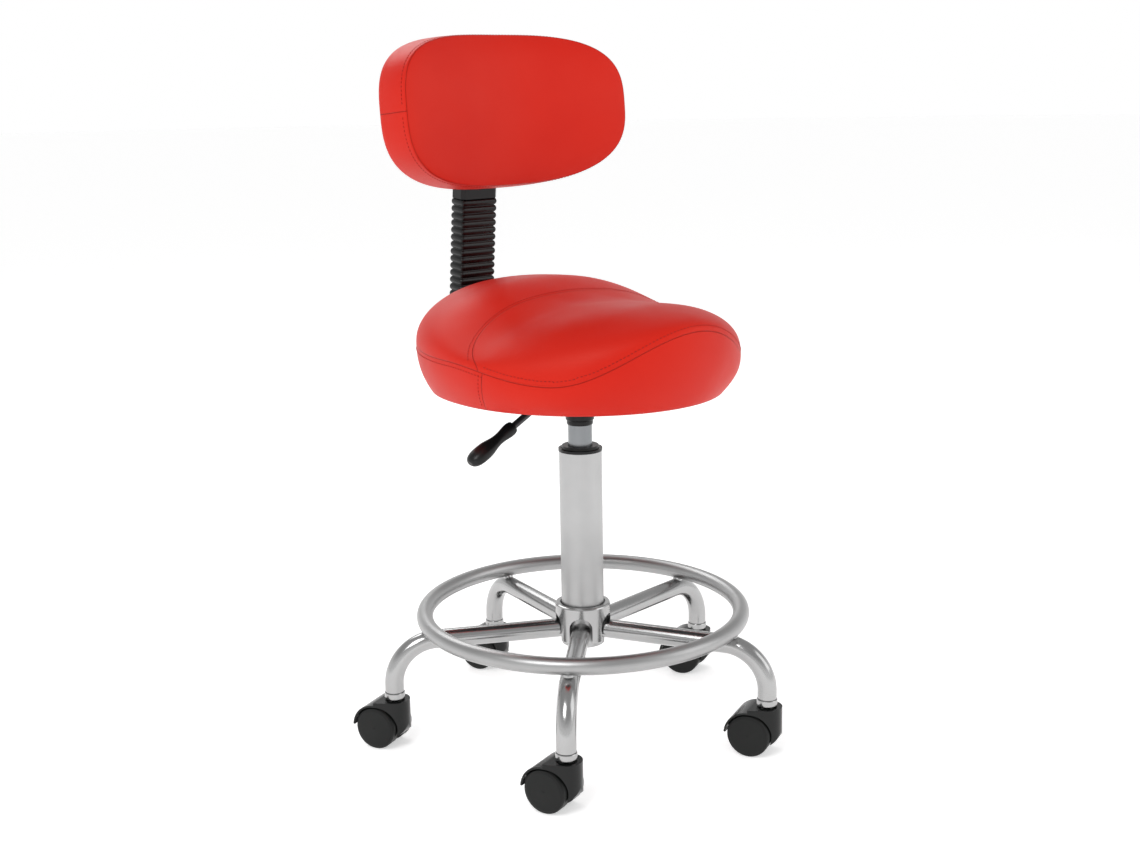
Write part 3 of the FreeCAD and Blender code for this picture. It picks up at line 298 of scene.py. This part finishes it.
def makeCloth():
    # a fine noise is both the colour and the height of the weave
    material, tree, shader = blankMaterial("blackCloth")
    weave = noise(tree, 1400.0, 2.0)
    tree.links.new(ramp(tree, weave, [(0.3, (0.010, 0.010, 0.011)), (0.7, (0.045, 0.045, 0.047))]),
                   shader.inputs["Base Color"])
    shader.inputs["Roughness"].default_value = 0.95
    bump(tree, shader, weave, 0.0002, 0.8)
    return material


seatVinyl = makeVinyl("seatVinyl", ["sideSeam", "crescentSeam", "boxingSeam"])
backVinyl = makeVinyl("backVinyl", ["frontSeam", "rearSeam", "bandSeam"])
thread = makePlastic("redThread", (0.29, 0.009, 0.005), 0.65, grain=2500.0, specular=0.2)
finishes = {
    "satin_steel": makeMetal("satinSteel", (0.44, 0.44, 0.44), 0.20, 0.05),
    "chrome": makeMetal("chrome", (0.44, 0.44, 0.44), 0.18, 0.04),
    "zinc": makeMetal("zinc", (0.30, 0.31, 0.32), 0.26, 0.07),
    "black_plastic": makePlastic("blackPlastic", (0.003, 0.003, 0.0032), 0.32, specular=0.3),
    "caster_plastic": makePlastic("casterPlastic", (0.003, 0.0035, 0.0032), 0.42, specular=0.26),
    "white_plastic": makePlastic("whitePlastic", (0.72, 0.72, 0.70), 0.4),
    "black_metal": makePlastic("blackPaint", (0.014, 0.014, 0.015), 0.33, grain=300.0, depth=0.00012,
                               coat=0.3),
    "red_vinyl": backVinyl,
    "plywood": makePlywood(),
    "black_cloth": makeCloth(),
    "bellows_rubber": makePlastic("bellowsRubber", (0.002, 0.002, 0.0022), 0.26, grain=350.0, specular=0.3),
}
# nodes whose finish differs from the rest of their slot: brushed steel, black socket and glossy hoods
ownFinish = {
    "column_tube": makeMetal("columnSteel", (0.50, 0.50, 0.50), 0.42, 0.05),
    "gas_cylinder": makeMetal("liftSteel", (0.26, 0.27, 0.28), 0.30, 0.06),
    "lift_socket": finishes["black_plastic"],
    "foot_ring": makeMetal("ringSteel", (0.42, 0.42, 0.42), 0.38, 0.06, stretch=(1, 1, 0.5)),
}
hoodPlastic = makePlastic("hoodPlastic", (0.0025, 0.003, 0.0028), 0.22, specular=0.32)
for number in range(1, 6):
    ownFinish[f"caster_hood_{number}"] = hoodPlastic
for part in frame["record"]["subparts"]:
    owner = nodes[part["node"]]
    owner.data.materials.clear()
    owner.data.materials.append(ownFinish.get(part["node"], finishes[part["material_slot"]]))
print("materials are on the frame")


padding = {"pressure": 3.0, "frames": 20, "cap": 0.0028, "tension": 25.0, "bending": 4.0,
           "passes": 40, "calm": 0.05}


def inflate(piece, held, pole):
    # the cover swells a little against its seams; held marks the points that the seams and hems keep,
    # pole is the point where the columns of the upper panel meet
    rest = vertexArray(piece)
    group = piece.vertex_groups.new(name="held")
    group.add(np.nonzero(held)[0].tolist(), 1.0, "REPLACE")
    cloth = piece.modifiers.new("cloth", "CLOTH")
    settings = cloth.settings
    settings.quality = 6
    settings.mass = 0.3
    settings.tension_stiffness = padding["tension"]
    settings.compression_stiffness = padding["tension"]
    settings.shear_stiffness = padding["tension"]
    settings.bending_stiffness = padding["bending"]
    settings.use_pressure = True
    settings.uniform_pressure_force = padding["pressure"]
    settings.vertex_group_mass = "held"
    settings.effector_weights.gravity = 0.0
    cloth.collision_settings.use_collision = False
    cloth.point_cache.frame_start = 1
    cloth.point_cache.frame_end = padding["frames"]
    for number in range(1, padding["frames"] + 1):
        scene.frame_set(number)
    shaped = piece.evaluated_get(bpy.context.evaluated_depsgraph_get()).to_mesh()
    moved = np.zeros(len(shaped.vertices) * 3, np.float32)
    shaped.vertices.foreach_get("co", moved)
    step = moved.reshape(-1, 3) - rest
    length = np.linalg.norm(step, axis=1, keepdims=True)
    step *= np.minimum(1.0, padding["cap"] / np.maximum(length, 1e-9))
    # the swelling is evened out over neighbouring points, then made equal where the columns meet
    ends = np.zeros(len(piece.data.edges) * 2, np.int32)
    piece.data.edges.foreach_get("vertices", ends)
    first, second = ends.reshape(-1, 2).T
    count = len(rest)
    degree = np.maximum(np.bincount(first, minlength=count) + np.bincount(second, minlength=count), 1)
    for again in range(padding["passes"]):
        for axis in range(3):
            total = np.bincount(first, step[second, axis], count)
            total = total + np.bincount(second, step[first, axis], count)
            step[:, axis] = np.where(held, 0, 0.5 * step[:, axis] + 0.5 * total / degree)
    away = np.linalg.norm(rest - rest[pole], axis=1) / padding["calm"]
    near = (away < 1) & ~held
    ease = (away[near] ** 2 * (3 - 2 * away[near]))[:, None]
    step[near] = step[near] * ease + step[near].mean(0) * (1 - ease)
    piece.modifiers.remove(cloth)
    piece.vertex_groups.remove(group)
    scene.frame_set(1)
    piece.data.vertices.foreach_set("co", (rest + step).astype(np.float32).ravel())
    piece.data.update()


stitch = {"pitch": 4.4, "length": 3.0, "radius": 0.38, "widen": 1.25, "lift": 0.45, "sides": 8, "rings": 5}


def stitchRow(name, path, surface, body):
    # each stitch is an ellipsoid: half length along the path, half width across it, its middle on the cover
    gaps = np.linalg.norm(np.diff(path, axis=0), axis=1)
    travelled = np.concatenate([[0], np.cumsum(gaps)])
    count = int(travelled[-1] / stitch["pitch"])
    places = (np.arange(count) + 0.5) * travelled[-1] / count
    middle = np.stack([np.interp(places, travelled, path[:, k]) for k in range(3)], 1)
    ahead = np.stack([np.interp(places + 0.5, travelled, path[:, k]) for k in range(3)], 1)
    behind = np.stack([np.interp(places - 0.5, travelled, path[:, k]) for k in range(3)], 1)
    tree = BVHTree.FromObject(surface, bpy.context.evaluated_depsgraph_get())
    hits = [tree.find_nearest(Vector(p * 0.001)) for p in middle]
    middle = np.array([hit[0][:] for hit in hits]) * 1000
    normal = np.array([hit[1][:] for hit in hits])
    along = ahead - behind
    along -= normal * (along * normal).sum(1, keepdims=True)
    along /= np.linalg.norm(along, axis=1, keepdims=True)
    side = np.cross(normal, along)
    half = stitch["length"] / 2
    radius = stitch["radius"]
    u = np.linspace(0, 2 * np.pi, stitch["sides"], endpoint=False)[None, :]
    v = np.linspace(-1, 1, stitch["rings"] + 2)[1:-1, None]
    ring = np.sqrt(1 - v ** 2) * radius
    local = np.stack([v * half + 0 * u, ring * np.cos(u) * stitch["widen"], ring * np.sin(u)], -1)
    shape = np.concatenate([local.reshape(-1, 3), [[-half, 0, 0], [half, 0, 0]]])
    middle = middle + normal * radius * stitch["lift"]
    axes = np.stack([along, side, normal], 1)
    points = middle[:, None, :] + np.einsum("pk,nkc->npc", shape, axes)
    rows, columns = local.shape[:2]
    quads = gridFaces(rows, columns)
    tips = np.concatenate([poleFaces(rows * columns, 0, columns, flip=True),
                           poleFaces(rows * columns + 1, rows - 1, columns)])
    step = (np.arange(count) * len(shape))[:, None, None]
    faces = (quads[None] + step).reshape(-1, 4).tolist() + (tips[None] + step).reshape(-1, 3).tolist()
    return addPiece(name, points.reshape(-1, 3), faces, body, thread)


seat = {
    "halfWidth": 175.0, "front": 193.0, "rear": 189.0, "rearPower": 2.2, "nosePower": 2.0,
    "bottom": 415.0, "tuck": 0.915, "noseTuck": 0.885, "recess": 0.822, "ceiling": 431.9,
    "seamNose": 500.0, "seamThigh": 449.0, "seamSide": 465.0, "seamRear": 473.0, "seamTurn": 50.0,
    "dome": 536.0, "middle": 513.0, "nose": 520.0, "domeFall": 1.0, "noseFall": 0.75,
    "topPower": 4.4, "nosePowerTop": 5.0, "rollPower": 0.4,
    "columns": 300, "boxRows": 22, "topRows": 66,
    "boxingTurn": 75.5, "boxingRun": 0.05, "boxingCurve": 2.2, "stitchAway": 6.5, "rearStitch": 5.0,
    "crescentHalf": 172.0, "crescentMiddle": -46.0, "crescentReach": 61.0, "crescentSide": 3.0,
    "crescentEnd": 2.6, "pleats": 64, "pleatHeight": 0.35,
}


def seatReach(turn):
    # plan outline: |x / half width|^n + |y / reach|^n = 1, one power behind and one in front
    side = np.abs(np.sin(turn)) / seat["halfWidth"]
    front = np.cos(turn) > 0
    along = np.abs(np.cos(turn)) / np.where(front, seat["front"], seat["rear"])
    power = np.where(front, seat["nosePower"], seat["rearPower"])
    return (side ** power + along ** power) ** (-1 / power)


def seatSeam(turn):
    # seam height: half cosine waves between the heights at nose, thigh, side and rear
    degrees = np.abs(np.degrees(np.arctan2(np.sin(turn), np.cos(turn))))
    places = [0.0, seat["seamTurn"], 95.0, 180.0]
    heights = [seat["seamNose"], seat["seamThigh"], seat["seamSide"], seat["seamRear"]]
    step = np.clip(np.searchsorted(places, degrees, side="right") - 1, 0, 2)
    low = np.take(places, step)
    high = np.take(places, step + 1)
    share = (1 - np.cos(np.pi * (degrees - low) / (high - low))) / 2
    return np.take(heights, step) + (np.take(heights, step + 1) - np.take(heights, step)) * share


def seatTop(turn, share):
    # ridge height along y, less a parabola across x, eased into the seam by (1 - share^a)^b
    reach = seatReach(turn) * share
    x = reach * np.sin(turn)
    y = -reach * np.cos(turn)
    front = np.clip((-30 - y) / 100, 0, 1)
    behind = np.clip((y + 30) / 105, 0, 1)
    ridge = (seat["middle"] + (seat["nose"] - seat["middle"]) * front ** 2 * (3 - 2 * front)
             + (seat["dome"] - seat["middle"]) * behind ** 2 * (3 - 2 * behind))
    fall = (seat["noseFall"] + (seat["domeFall"] - seat["noseFall"]) * np.clip((y + 140) / 200, 0, 1)) / 1000
    nose = np.clip(np.cos(turn), 0, 1) ** 4
    full = seat["topPower"] * (1 - nose) + seat["nosePowerTop"] * nose
    seam = seatSeam(turn)
    z = seam + (ridge - fall * x * x - seam) * np.clip(1 - share ** full, 0, 1) ** seat["rollPower"]
    return np.stack([x, y, z], -1)


def hemShare(turn):
    # the hem is drawn in further at the nose than at the sides and rear
    nose = np.clip(np.cos(turn), 0, 1) ** 2
    return seat["tuck"] + (seat["noseTuck"] - seat["tuck"]) * nose


def seatBoxing(turn, depth):
    # side band: depth 0 at the seam, 1 at the hem; it draws in towards the hem by a power of the depth
    share = 1 - (1 - hemShare(turn)) * depth ** seat["boxingCurve"]
    reach = seatReach(turn) * share
    seam = seatSeam(turn)
    z = seam + (seat["bottom"] - seam) * depth
    return np.stack([reach * np.sin(turn), -reach * np.cos(turn), z], -1)


def crescentPath():
    # half superellipse in plan, open towards the nose, laid on the top panel
    t = np.linspace(0, np.pi, 500)
    x = seat["crescentHalf"] * np.sign(np.cos(t)) * np.abs(np.cos(t)) ** (2 / seat["crescentSide"])
    y = seat["crescentMiddle"] + seat["crescentReach"] * np.abs(np.sin(t)) ** (2 / seat["crescentEnd"])
    turn = np.arctan2(x, -y)
    share = np.clip(np.hypot(x, y) / seatReach(turn), 0, 1)
    return turn, share


def makeSeat():
    # loops round the column axis, from the hidden underside over the hem and the band to the top's middle
    columns = seat["columns"]
    turn = np.linspace(0, 2 * np.pi, columns, endpoint=False)[None, :]
    rows = []
    kinds = []
    for share in np.linspace(0.03, seat["recess"], 10):
        reach = seatReach(turn) * share
        rows.append(np.stack([reach * np.sin(turn), -reach * np.cos(turn), 0 * turn + seat["ceiling"]], -1))
        kinds.append("hidden")
    for height in np.linspace(seat["ceiling"] - 2, seat["bottom"] + 0.8, 5):
        reach = seatReach(turn) * seat["recess"]
        rows.append(np.stack([reach * np.sin(turn), -reach * np.cos(turn), 0 * turn + height], -1))
        kinds.append("hidden")
    # the hem is drawn under in small pleats
    for k, part in enumerate(np.linspace(0, 0.94, 6)):
        reach = seatReach(turn) * (seat["recess"] + (hemShare(turn) - seat["recess"]) * part)
        pleat = seat["pleatHeight"] * np.cos(turn * seat["pleats"]) * (1 - k / 5)
        rows.append(np.stack([reach * np.sin(turn), -reach * np.cos(turn), seat["bottom"] + 0.3 + pleat], -1))
        kinds.append("hem")
    for depth in np.linspace(1, 0, seat["boxRows"]) ** 0.9:
        rows.append(seatBoxing(turn, depth))
        kinds.append("box")
    kinds[-1] = "seam"
    for share in np.sin(np.linspace(np.pi / 2, 0.02, seat["topRows"]))[1:]:
        rows.append(seatTop(turn, np.full_like(turn, share)))
        kinds.append("top")
    grid = np.concatenate(rows, 0).reshape(len(rows), columns, 3)
    low = [0, 0, seat["ceiling"]]
    high = [0, 0, float(seatTop(np.array([0.0]), np.array([0.0]))[0, 2])]
    points, faces = closedShell(grid, low, high)
    piece = addPiece("seatCover", points, faces, "seat", seatVinyl)
    kind = np.append(np.repeat(np.array(kinds), columns), ["hidden", "top"])
    angle = np.append(np.tile(turn.ravel(), len(rows)), [0, 0])
    seamPath = seatBoxing(np.linspace(0, 2 * np.pi, 1200)[None, :], np.zeros((1, 1200)))[0]
    side = nearPath(points, seamPath)
    side[kind == "seam"] = 0
    cTurn, cShare = crescentPath()
    crescent = seatTop(cTurn, cShare)
    # the distance is negative outside the crescent, so that it is nought exactly on the line
    away = nearPath(points, crescent)
    behind = np.maximum(points[:, 1] - seat["crescentMiddle"], 0)
    inside = (np.abs(points[:, 0] / seat["crescentHalf"]) ** seat["crescentSide"]
              + np.abs(behind / seat["crescentReach"]) ** seat["crescentEnd"]) < 1
    onTop = np.isin(kind, ["top", "seam"])
    crescentAway = np.where(onTop, np.where(inside, away, -away), farAway)
    corner = math.radians(seat["boxingTurn"])
    # the boxing seam runs a little to the rear as it goes down
    drop = np.clip((seatSeam(angle) - points[:, 2]) / (seatSeam(angle) - seat["bottom"]), 0, 1)
    around = np.abs(np.arctan2(np.sin(angle), np.cos(angle))) - corner - seat["boxingRun"] * drop
    boxAway = around * np.hypot(points[:, 0], points[:, 1])
    boxAway = np.where(np.isin(kind, ["box", "hem", "seam"]), boxAway, farAway)
    held = np.isin(kind, ["hidden", "hem", "seam"])
    inflate(piece, held, len(points) - 1)
    setAttribute(piece, "sideSeam", np.where(kind == "hidden", farAway, side))
    setAttribute(piece, "crescentSeam", crescentAway)
    setAttribute(piece, "boxingSeam", boxAway)
    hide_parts("seat_cushion")
    # topstitching: below the seam round the rear, above it round the nose, and beside the other seams
    t = np.linspace(corner, 2 * np.pi - corner, 900)
    lower = seatBoxing(t, seat["rearStitch"] / (seatSeam(t) - seat["bottom"]))
    upperTurn = np.linspace(-corner, corner, 900)
    # the row above the nose seam keeps its distance from it along the surface
    shares = np.linspace(1, 0.9, 400)[:, None]
    strips = seatTop(np.tile(upperTurn, (400, 1)), shares * np.ones_like(upperTurn)[None, :])
    run = np.cumsum(np.linalg.norm(np.diff(strips, axis=0), axis=2), axis=0)
    upper = strips[np.argmax(run > seat["stitchAway"], axis=0), np.arange(len(upperTurn))]
    sewn = [stitchRow("seatStitchRear", lower, piece, "seat"),
            stitchRow("seatStitchNose", upper, piece, "seat")]
    centre = np.array([0.0, seat["crescentMiddle"] - 40])
    out = crescent[:, :2] - centre
    out /= np.linalg.norm(out, axis=1, keepdims=True)
    shifted = crescent[:, :2] + out * seat["rearStitch"]
    sTurn = np.arctan2(shifted[:, 0], -shifted[:, 1])
    sShare = np.hypot(shifted[:, 0], shifted[:, 1]) / seatReach(sTurn)
    keep = sShare < 0.99
    sewn.append(stitchRow("seatStitchCrescent", seatTop(sTurn[keep], sShare[keep]), piece, "seat"))
    for name, sign in (("seatStitchLeft", -1), ("seatStitchRight", 1)):
        depth = np.linspace(0.06, 0.9, 60)
        place = sign * (corner + 0.028 + seat["boxingRun"] * depth)
        sewn.append(stitchRow(name, seatBoxing(place, depth), piece, "seat"))


makeSeat()
print("seat cover is made")


back = {
    "halfWidth": 159.0, "halfHeight": 86.2, "power": 3.1, "powerLow": 2.8, "curve": 350.0, "rearCurve": 600.0,
    "y": 131.0, "z": 726.0, "tilt": 5.0, "depth": 36.0, "flare": 1.03, "crown": 16.0,
    "columns": 280, "frontRows": 40, "bandRows": 12, "rearRows": 26, "edge": 3.5, "edgeIn": 0.022,
    "gap": 0.15, "bandBulge": 0.006, "crownSide": 3.2, "crownEdge": 0.85,
    "stitchUpper": 5.0, "stitchLower": 5.5,
}


def backShape(turn, share, depth, lift=0.0):
    # superellipse outline on a bowed sheet: y = depth - x^2 / 2R, with R easing from front to rear
    power = 2 / np.where(np.sin(turn) > 0, back["power"], back["powerLow"])
    cosine = np.cos(turn)
    sine = np.sin(turn)
    x = share * back["halfWidth"] * np.sign(cosine) * np.abs(cosine) ** power
    z = share * back["halfHeight"] * np.sign(sine) * np.abs(sine) ** power
    part = np.clip(depth / back["depth"], 0, 1)
    bend = (1 - part) / back["curve"] + part / back["rearCurve"]
    y = depth - x * x * bend / 2 + lift
    lean = math.radians(-back["tilt"])
    return np.stack([x, back["y"] + y * math.cos(lean) - z * math.sin(lean),
                     back["z"] + y * math.sin(lean) + z * math.cos(lean)], -1)


def makeBackrest():
    # loops round the pad's middle: rear face, rounded rear edge, band, then the crowned front; the crown is
    # height * (1 - share^a)^b
    columns = back["columns"]
    turn = (np.arange(columns) / columns * 2 * np.pi)[None, :] + 0.5 * np.pi / columns
    rows = []
    kinds = []
    edge = back["edge"]
    rear = back["depth"] - back["gap"]
    flat = back["flare"] - back["edgeIn"]
    for share in np.sin(np.linspace(0.03, np.pi / 2, back["rearRows"])) * flat:
        rows.append(backShape(turn, share, np.full_like(turn, rear)))
        kinds.append("rear")
    for angle in np.linspace(0, np.pi / 2, 5)[1:]:
        share = flat + back["edgeIn"] * math.sin(angle)
        rows.append(backShape(turn, share, np.full_like(turn, rear - edge * (1 - math.cos(angle)))))
        kinds.append("edge")
    kinds[-4] = "rearSeam"
    for part in np.linspace(0, 1, back["bandRows"])[1:]:
        depth = (rear - edge) * (1 - part)
        share = back["flare"] + (1 - back["flare"]) * part + back["bandBulge"] * math.sin(math.pi * part)
        rows.append(backShape(turn, share, np.full_like(turn, depth)))
        kinds.append("band")
    kinds[-1] = "seam"
    for share in np.sin(np.linspace(np.pi / 2, 0.03, back["frontRows"]))[1:]:
        lift = -back["crown"] * (1 - share ** back["crownSide"]) ** back["crownEdge"]
        rows.append(backShape(turn, share, np.zeros_like(turn), lift))
        kinds.append("front")
    grid = np.concatenate(rows, 0).reshape(len(rows), columns, 3)[:, ::-1]
    low = backShape(np.array([0.0]), 0.0, np.array([rear]))[0]
    high = backShape(np.array([0.0]), 0.0, np.array([0.0]), -back["crown"])[0]
    points, faces = closedShell(grid, low, high)
    faces = [face[::-1] for face in faces]
    piece = addPiece("backPad", points, faces, "backrest", backVinyl)
    kind = np.append(np.repeat(np.array(kinds), columns), ["rear", "front"])
    t = np.linspace(0, 2 * np.pi, 1600)
    frontSeam = backShape(t, 1.0, np.zeros_like(t))
    rearSeam = backShape(t, back["flare"] - 0.02, np.full_like(t, rear))
    frontAway = nearPath(points, frontSeam)
    frontAway[kind == "seam"] = 0
    rearAway = nearPath(points, rearSeam)
    rearAway[kind == "rearSeam"] = 0
    # the band's butt seam lies at mid height, on both sides
    lean = math.radians(back["tilt"])
    height = (points[:, 2] - back["z"]) * math.cos(lean) + (points[:, 1] - back["y"]) * math.sin(lean)
    band = np.where(np.isin(kind, ["band", "edge", "seam", "rearSeam"]), height, farAway)
    held = np.isin(kind, ["rear", "seam", "rearSeam", "edge"])
    inflate(piece, held, len(points) - 1)
    setAttribute(piece, "frontSeam", frontAway)
    setAttribute(piece, "rearSeam", rearAway)
    setAttribute(piece, "bandSeam", band)
    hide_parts("back_cushion", "back_panel")
    upperTurn = np.linspace(0.02, np.pi - 0.02, 900)
    lowerTurn = np.linspace(np.pi + 0.02, 2 * np.pi - 0.02, 900)
    upper = backShape(upperTurn, 1.0, np.full_like(upperTurn, back["stitchUpper"]))
    lower = backShape(lowerTurn, 1.001, np.full_like(lowerTurn, back["stitchLower"]))
    for name, path in (("backStitchUpper", upper), ("backStitchLower", lower)):
        stitchRow(name, path, piece, "backrest")


makeBackrest()
print("backrest pad is made")


bellows = {
    "lean": 5.5, "y": 203.0, "z": 518.0, "low": -70.0, "high": 104.9, "halfX": 26.5, "halfY": 13.5,
    "ridges": 20, "depth": 2.6, "round": 5.0, "innerX": 19.6, "innerY": 3.6, "innerRound": 0.4,
    "columns": 96, "perRidge": 10, "waveRound": 0.55, "spread": 2.2,
}


def roundedLoop(halfX, halfY, corner, count):
    # a circle of the corner's radius, moved out by (half - corner) * clip(spread * cos) along x, and by the
    # same with sin along y
    t = np.linspace(0, 2 * np.pi, count, endpoint=False)
    cosine = np.cos(t)
    sine = np.sin(t)
    x = (halfX - corner) * np.clip(cosine * bellows["spread"], -1, 1) + corner * cosine
    y = (halfY - corner) * np.clip(sine * bellows["spread"], -1, 1) + corner * sine
    return np.stack([x, y], -1)


def makeBellows():
    # the outline shrinks and grows by a rounded wave along the bar; inside, a plain sleeve closes it
    steps = bellows["ridges"] * bellows["perRidge"] + 1
    along = np.linspace(bellows["low"], bellows["high"], steps)
    phase = (along - bellows["low"]) / (bellows["high"] - bellows["low"]) * bellows["ridges"]
    wave = np.abs(np.sin(np.pi * phase)) ** bellows["waveRound"]
    inset = bellows["depth"] * (1 - wave)
    unit = roundedLoop(bellows["halfX"], bellows["halfY"], bellows["round"], bellows["columns"])
    scaleX = (bellows["halfX"] - inset) / bellows["halfX"]
    scaleY = (bellows["halfY"] - inset) / bellows["halfY"]
    outer = np.stack([unit[None, :, 0] * scaleX[:, None], unit[None, :, 1] * scaleY[:, None],
                      along[:, None] + 0 * unit[None, :, 0]], -1)
    core = roundedLoop(bellows["innerX"], bellows["innerY"], bellows["innerRound"], bellows["columns"])
    ends = along[[-1, 0]][:, None]
    coreX = core[None, :, 0] + 0 * ends
    coreY = core[None, :, 1] + 0 * ends
    inner = np.stack([coreX, coreY, ends + 0 * coreX], -1)
    grid = np.concatenate([outer, inner, outer[:1]], 0)
    lean = math.radians(bellows["lean"])
    y = grid[..., 1] * math.cos(lean) - grid[..., 2] * math.sin(lean) + bellows["y"]
    z = grid[..., 1] * math.sin(lean) + grid[..., 2] * math.cos(lean) + bellows["z"]
    loops = np.stack([grid[..., 0], y, z], -1)
    count = len(loops) - 1
    faces = gridFaces(count + 1, bellows["columns"])
    faces = np.where(faces >= count * bellows["columns"], faces - count * bellows["columns"], faces)
    piece = addPiece("bellowsBoot", loops[:-1].reshape(-1, 3), faces, None, finishes["bellows_rubber"])
    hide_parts("bellows")
    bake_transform(piece)


makeBellows()
print("bellows are made")


stage = {"radius": 30.0, "sides": 96, "base": 0.92, "glow": 0.46, "roughness": 0.8}


def makeStage():
    floorMaterial, tree, shader = blankMaterial("paleFloor")
    shader.inputs["Base Color"].default_value = (stage["base"], stage["base"], stage["base"], 1)
    shader.inputs["Roughness"].default_value = stage["roughness"]
    shader.inputs["Emission Color"].default_value = (1, 1, 1, 1)
    shader.inputs["Emission Strength"].default_value = stage["glow"]
    mesh = bpy.data.meshes.new("floor")
    turn = np.linspace(0, 2 * np.pi, stage["sides"], endpoint=False)
    edge = np.stack([np.cos(turn), np.sin(turn), 0 * turn], 1) * stage["radius"]
    mesh.from_pydata(edge.tolist(), [], [list(range(stage["sides"]))])
    mesh.materials.append(floorMaterial)
    floor = bpy.data.objects.new("floor", mesh)
    scene.collection.objects.link(floor)
    world = bpy.data.worlds.new("studio")
    scene.world = world
    world.use_nodes = True
    tree = world.node_tree
    background = tree.nodes["Background"]
    coordinates = tree.nodes.new("ShaderNodeTexCoord")
    split = tree.nodes.new("ShaderNodeSeparateXYZ")
    tree.links.new(coordinates.outputs["Generated"], split.inputs[0])
    height = maths(tree, "MULTIPLY_ADD", split.outputs["Z"], 0.5, 0.5)
    # white to a little above eye level, then dimmer towards the ceiling
    sky = ramp(tree, height, [(0.0, (1.0, 1.0, 1.0)), (0.58, (1.0, 1.0, 1.0)), (0.74, (0.5, 0.5, 0.5))])
    tree.links.new(sky, background.inputs["Color"])
    background.inputs["Strength"].default_value = 1.0


def addLight(name, place, target, size, power):
    data = bpy.data.lights.new(name, "AREA")
    data.shape = "RECTANGLE"
    data.size = size[0]
    data.size_y = size[1]
    data.energy = power
    light = bpy.data.objects.new(name, data)
    scene.collection.objects.link(light)
    light.location = place
    light.rotation_euler = (Vector(target) - Vector(place)).to_track_quat("-Z", "Y").to_euler()


camera = {
    "focal": 1549.0, "frame": 1140, "sensor": 36.0, "distance": 1.7504, "height": 0.7560,
    "pitch": 0.2188, "yaw": -0.0066, "roll": -0.0172, "azimuth": 40.0,
}


def makeCamera():
    data = bpy.data.cameras.new("camera")
    data.sensor_width = camera["sensor"]
    data.lens = camera["focal"] / camera["frame"] * camera["sensor"]
    eye = bpy.data.objects.new("camera", data)
    scene.collection.objects.link(eye)
    pitch = camera["pitch"]
    yaw = camera["yaw"]
    forward = Vector((math.sin(yaw) * math.cos(pitch), math.cos(yaw) * math.cos(pitch), -math.sin(pitch)))
    right = Vector((math.cos(yaw), -math.sin(yaw), 0))
    up = right.cross(forward)
    cosine = math.cos(camera["roll"])
    sine = math.sin(camera["roll"])
    across = right * cosine + up * sine
    upward = up * cosine - right * sine
    base = Matrix((across, upward, -forward)).transposed().to_4x4()
    base.translation = Vector((0, -camera["distance"], camera["height"]))
    eye.matrix_world = Matrix.Rotation(math.radians(-camera["azimuth"]), 4, "Z") @ base
    scene.camera = eye


makeStage()
makeCamera()
addLight("key", (-2.2, -0.9, 2.6), (0, 0, 0.45), (1.4, 1.4), 40)
addLight("fill", (1.6, -2.0, 1.6), (0, 0, 0.45), (1.8, 1.8), 12)
addLight("rim", (0.6, 2.4, 2.4), (0, 0, 0.5), (1.8, 1.2), 20)
scene.view_settings.view_transform = "Standard"
print("stage, lights and camera are set")
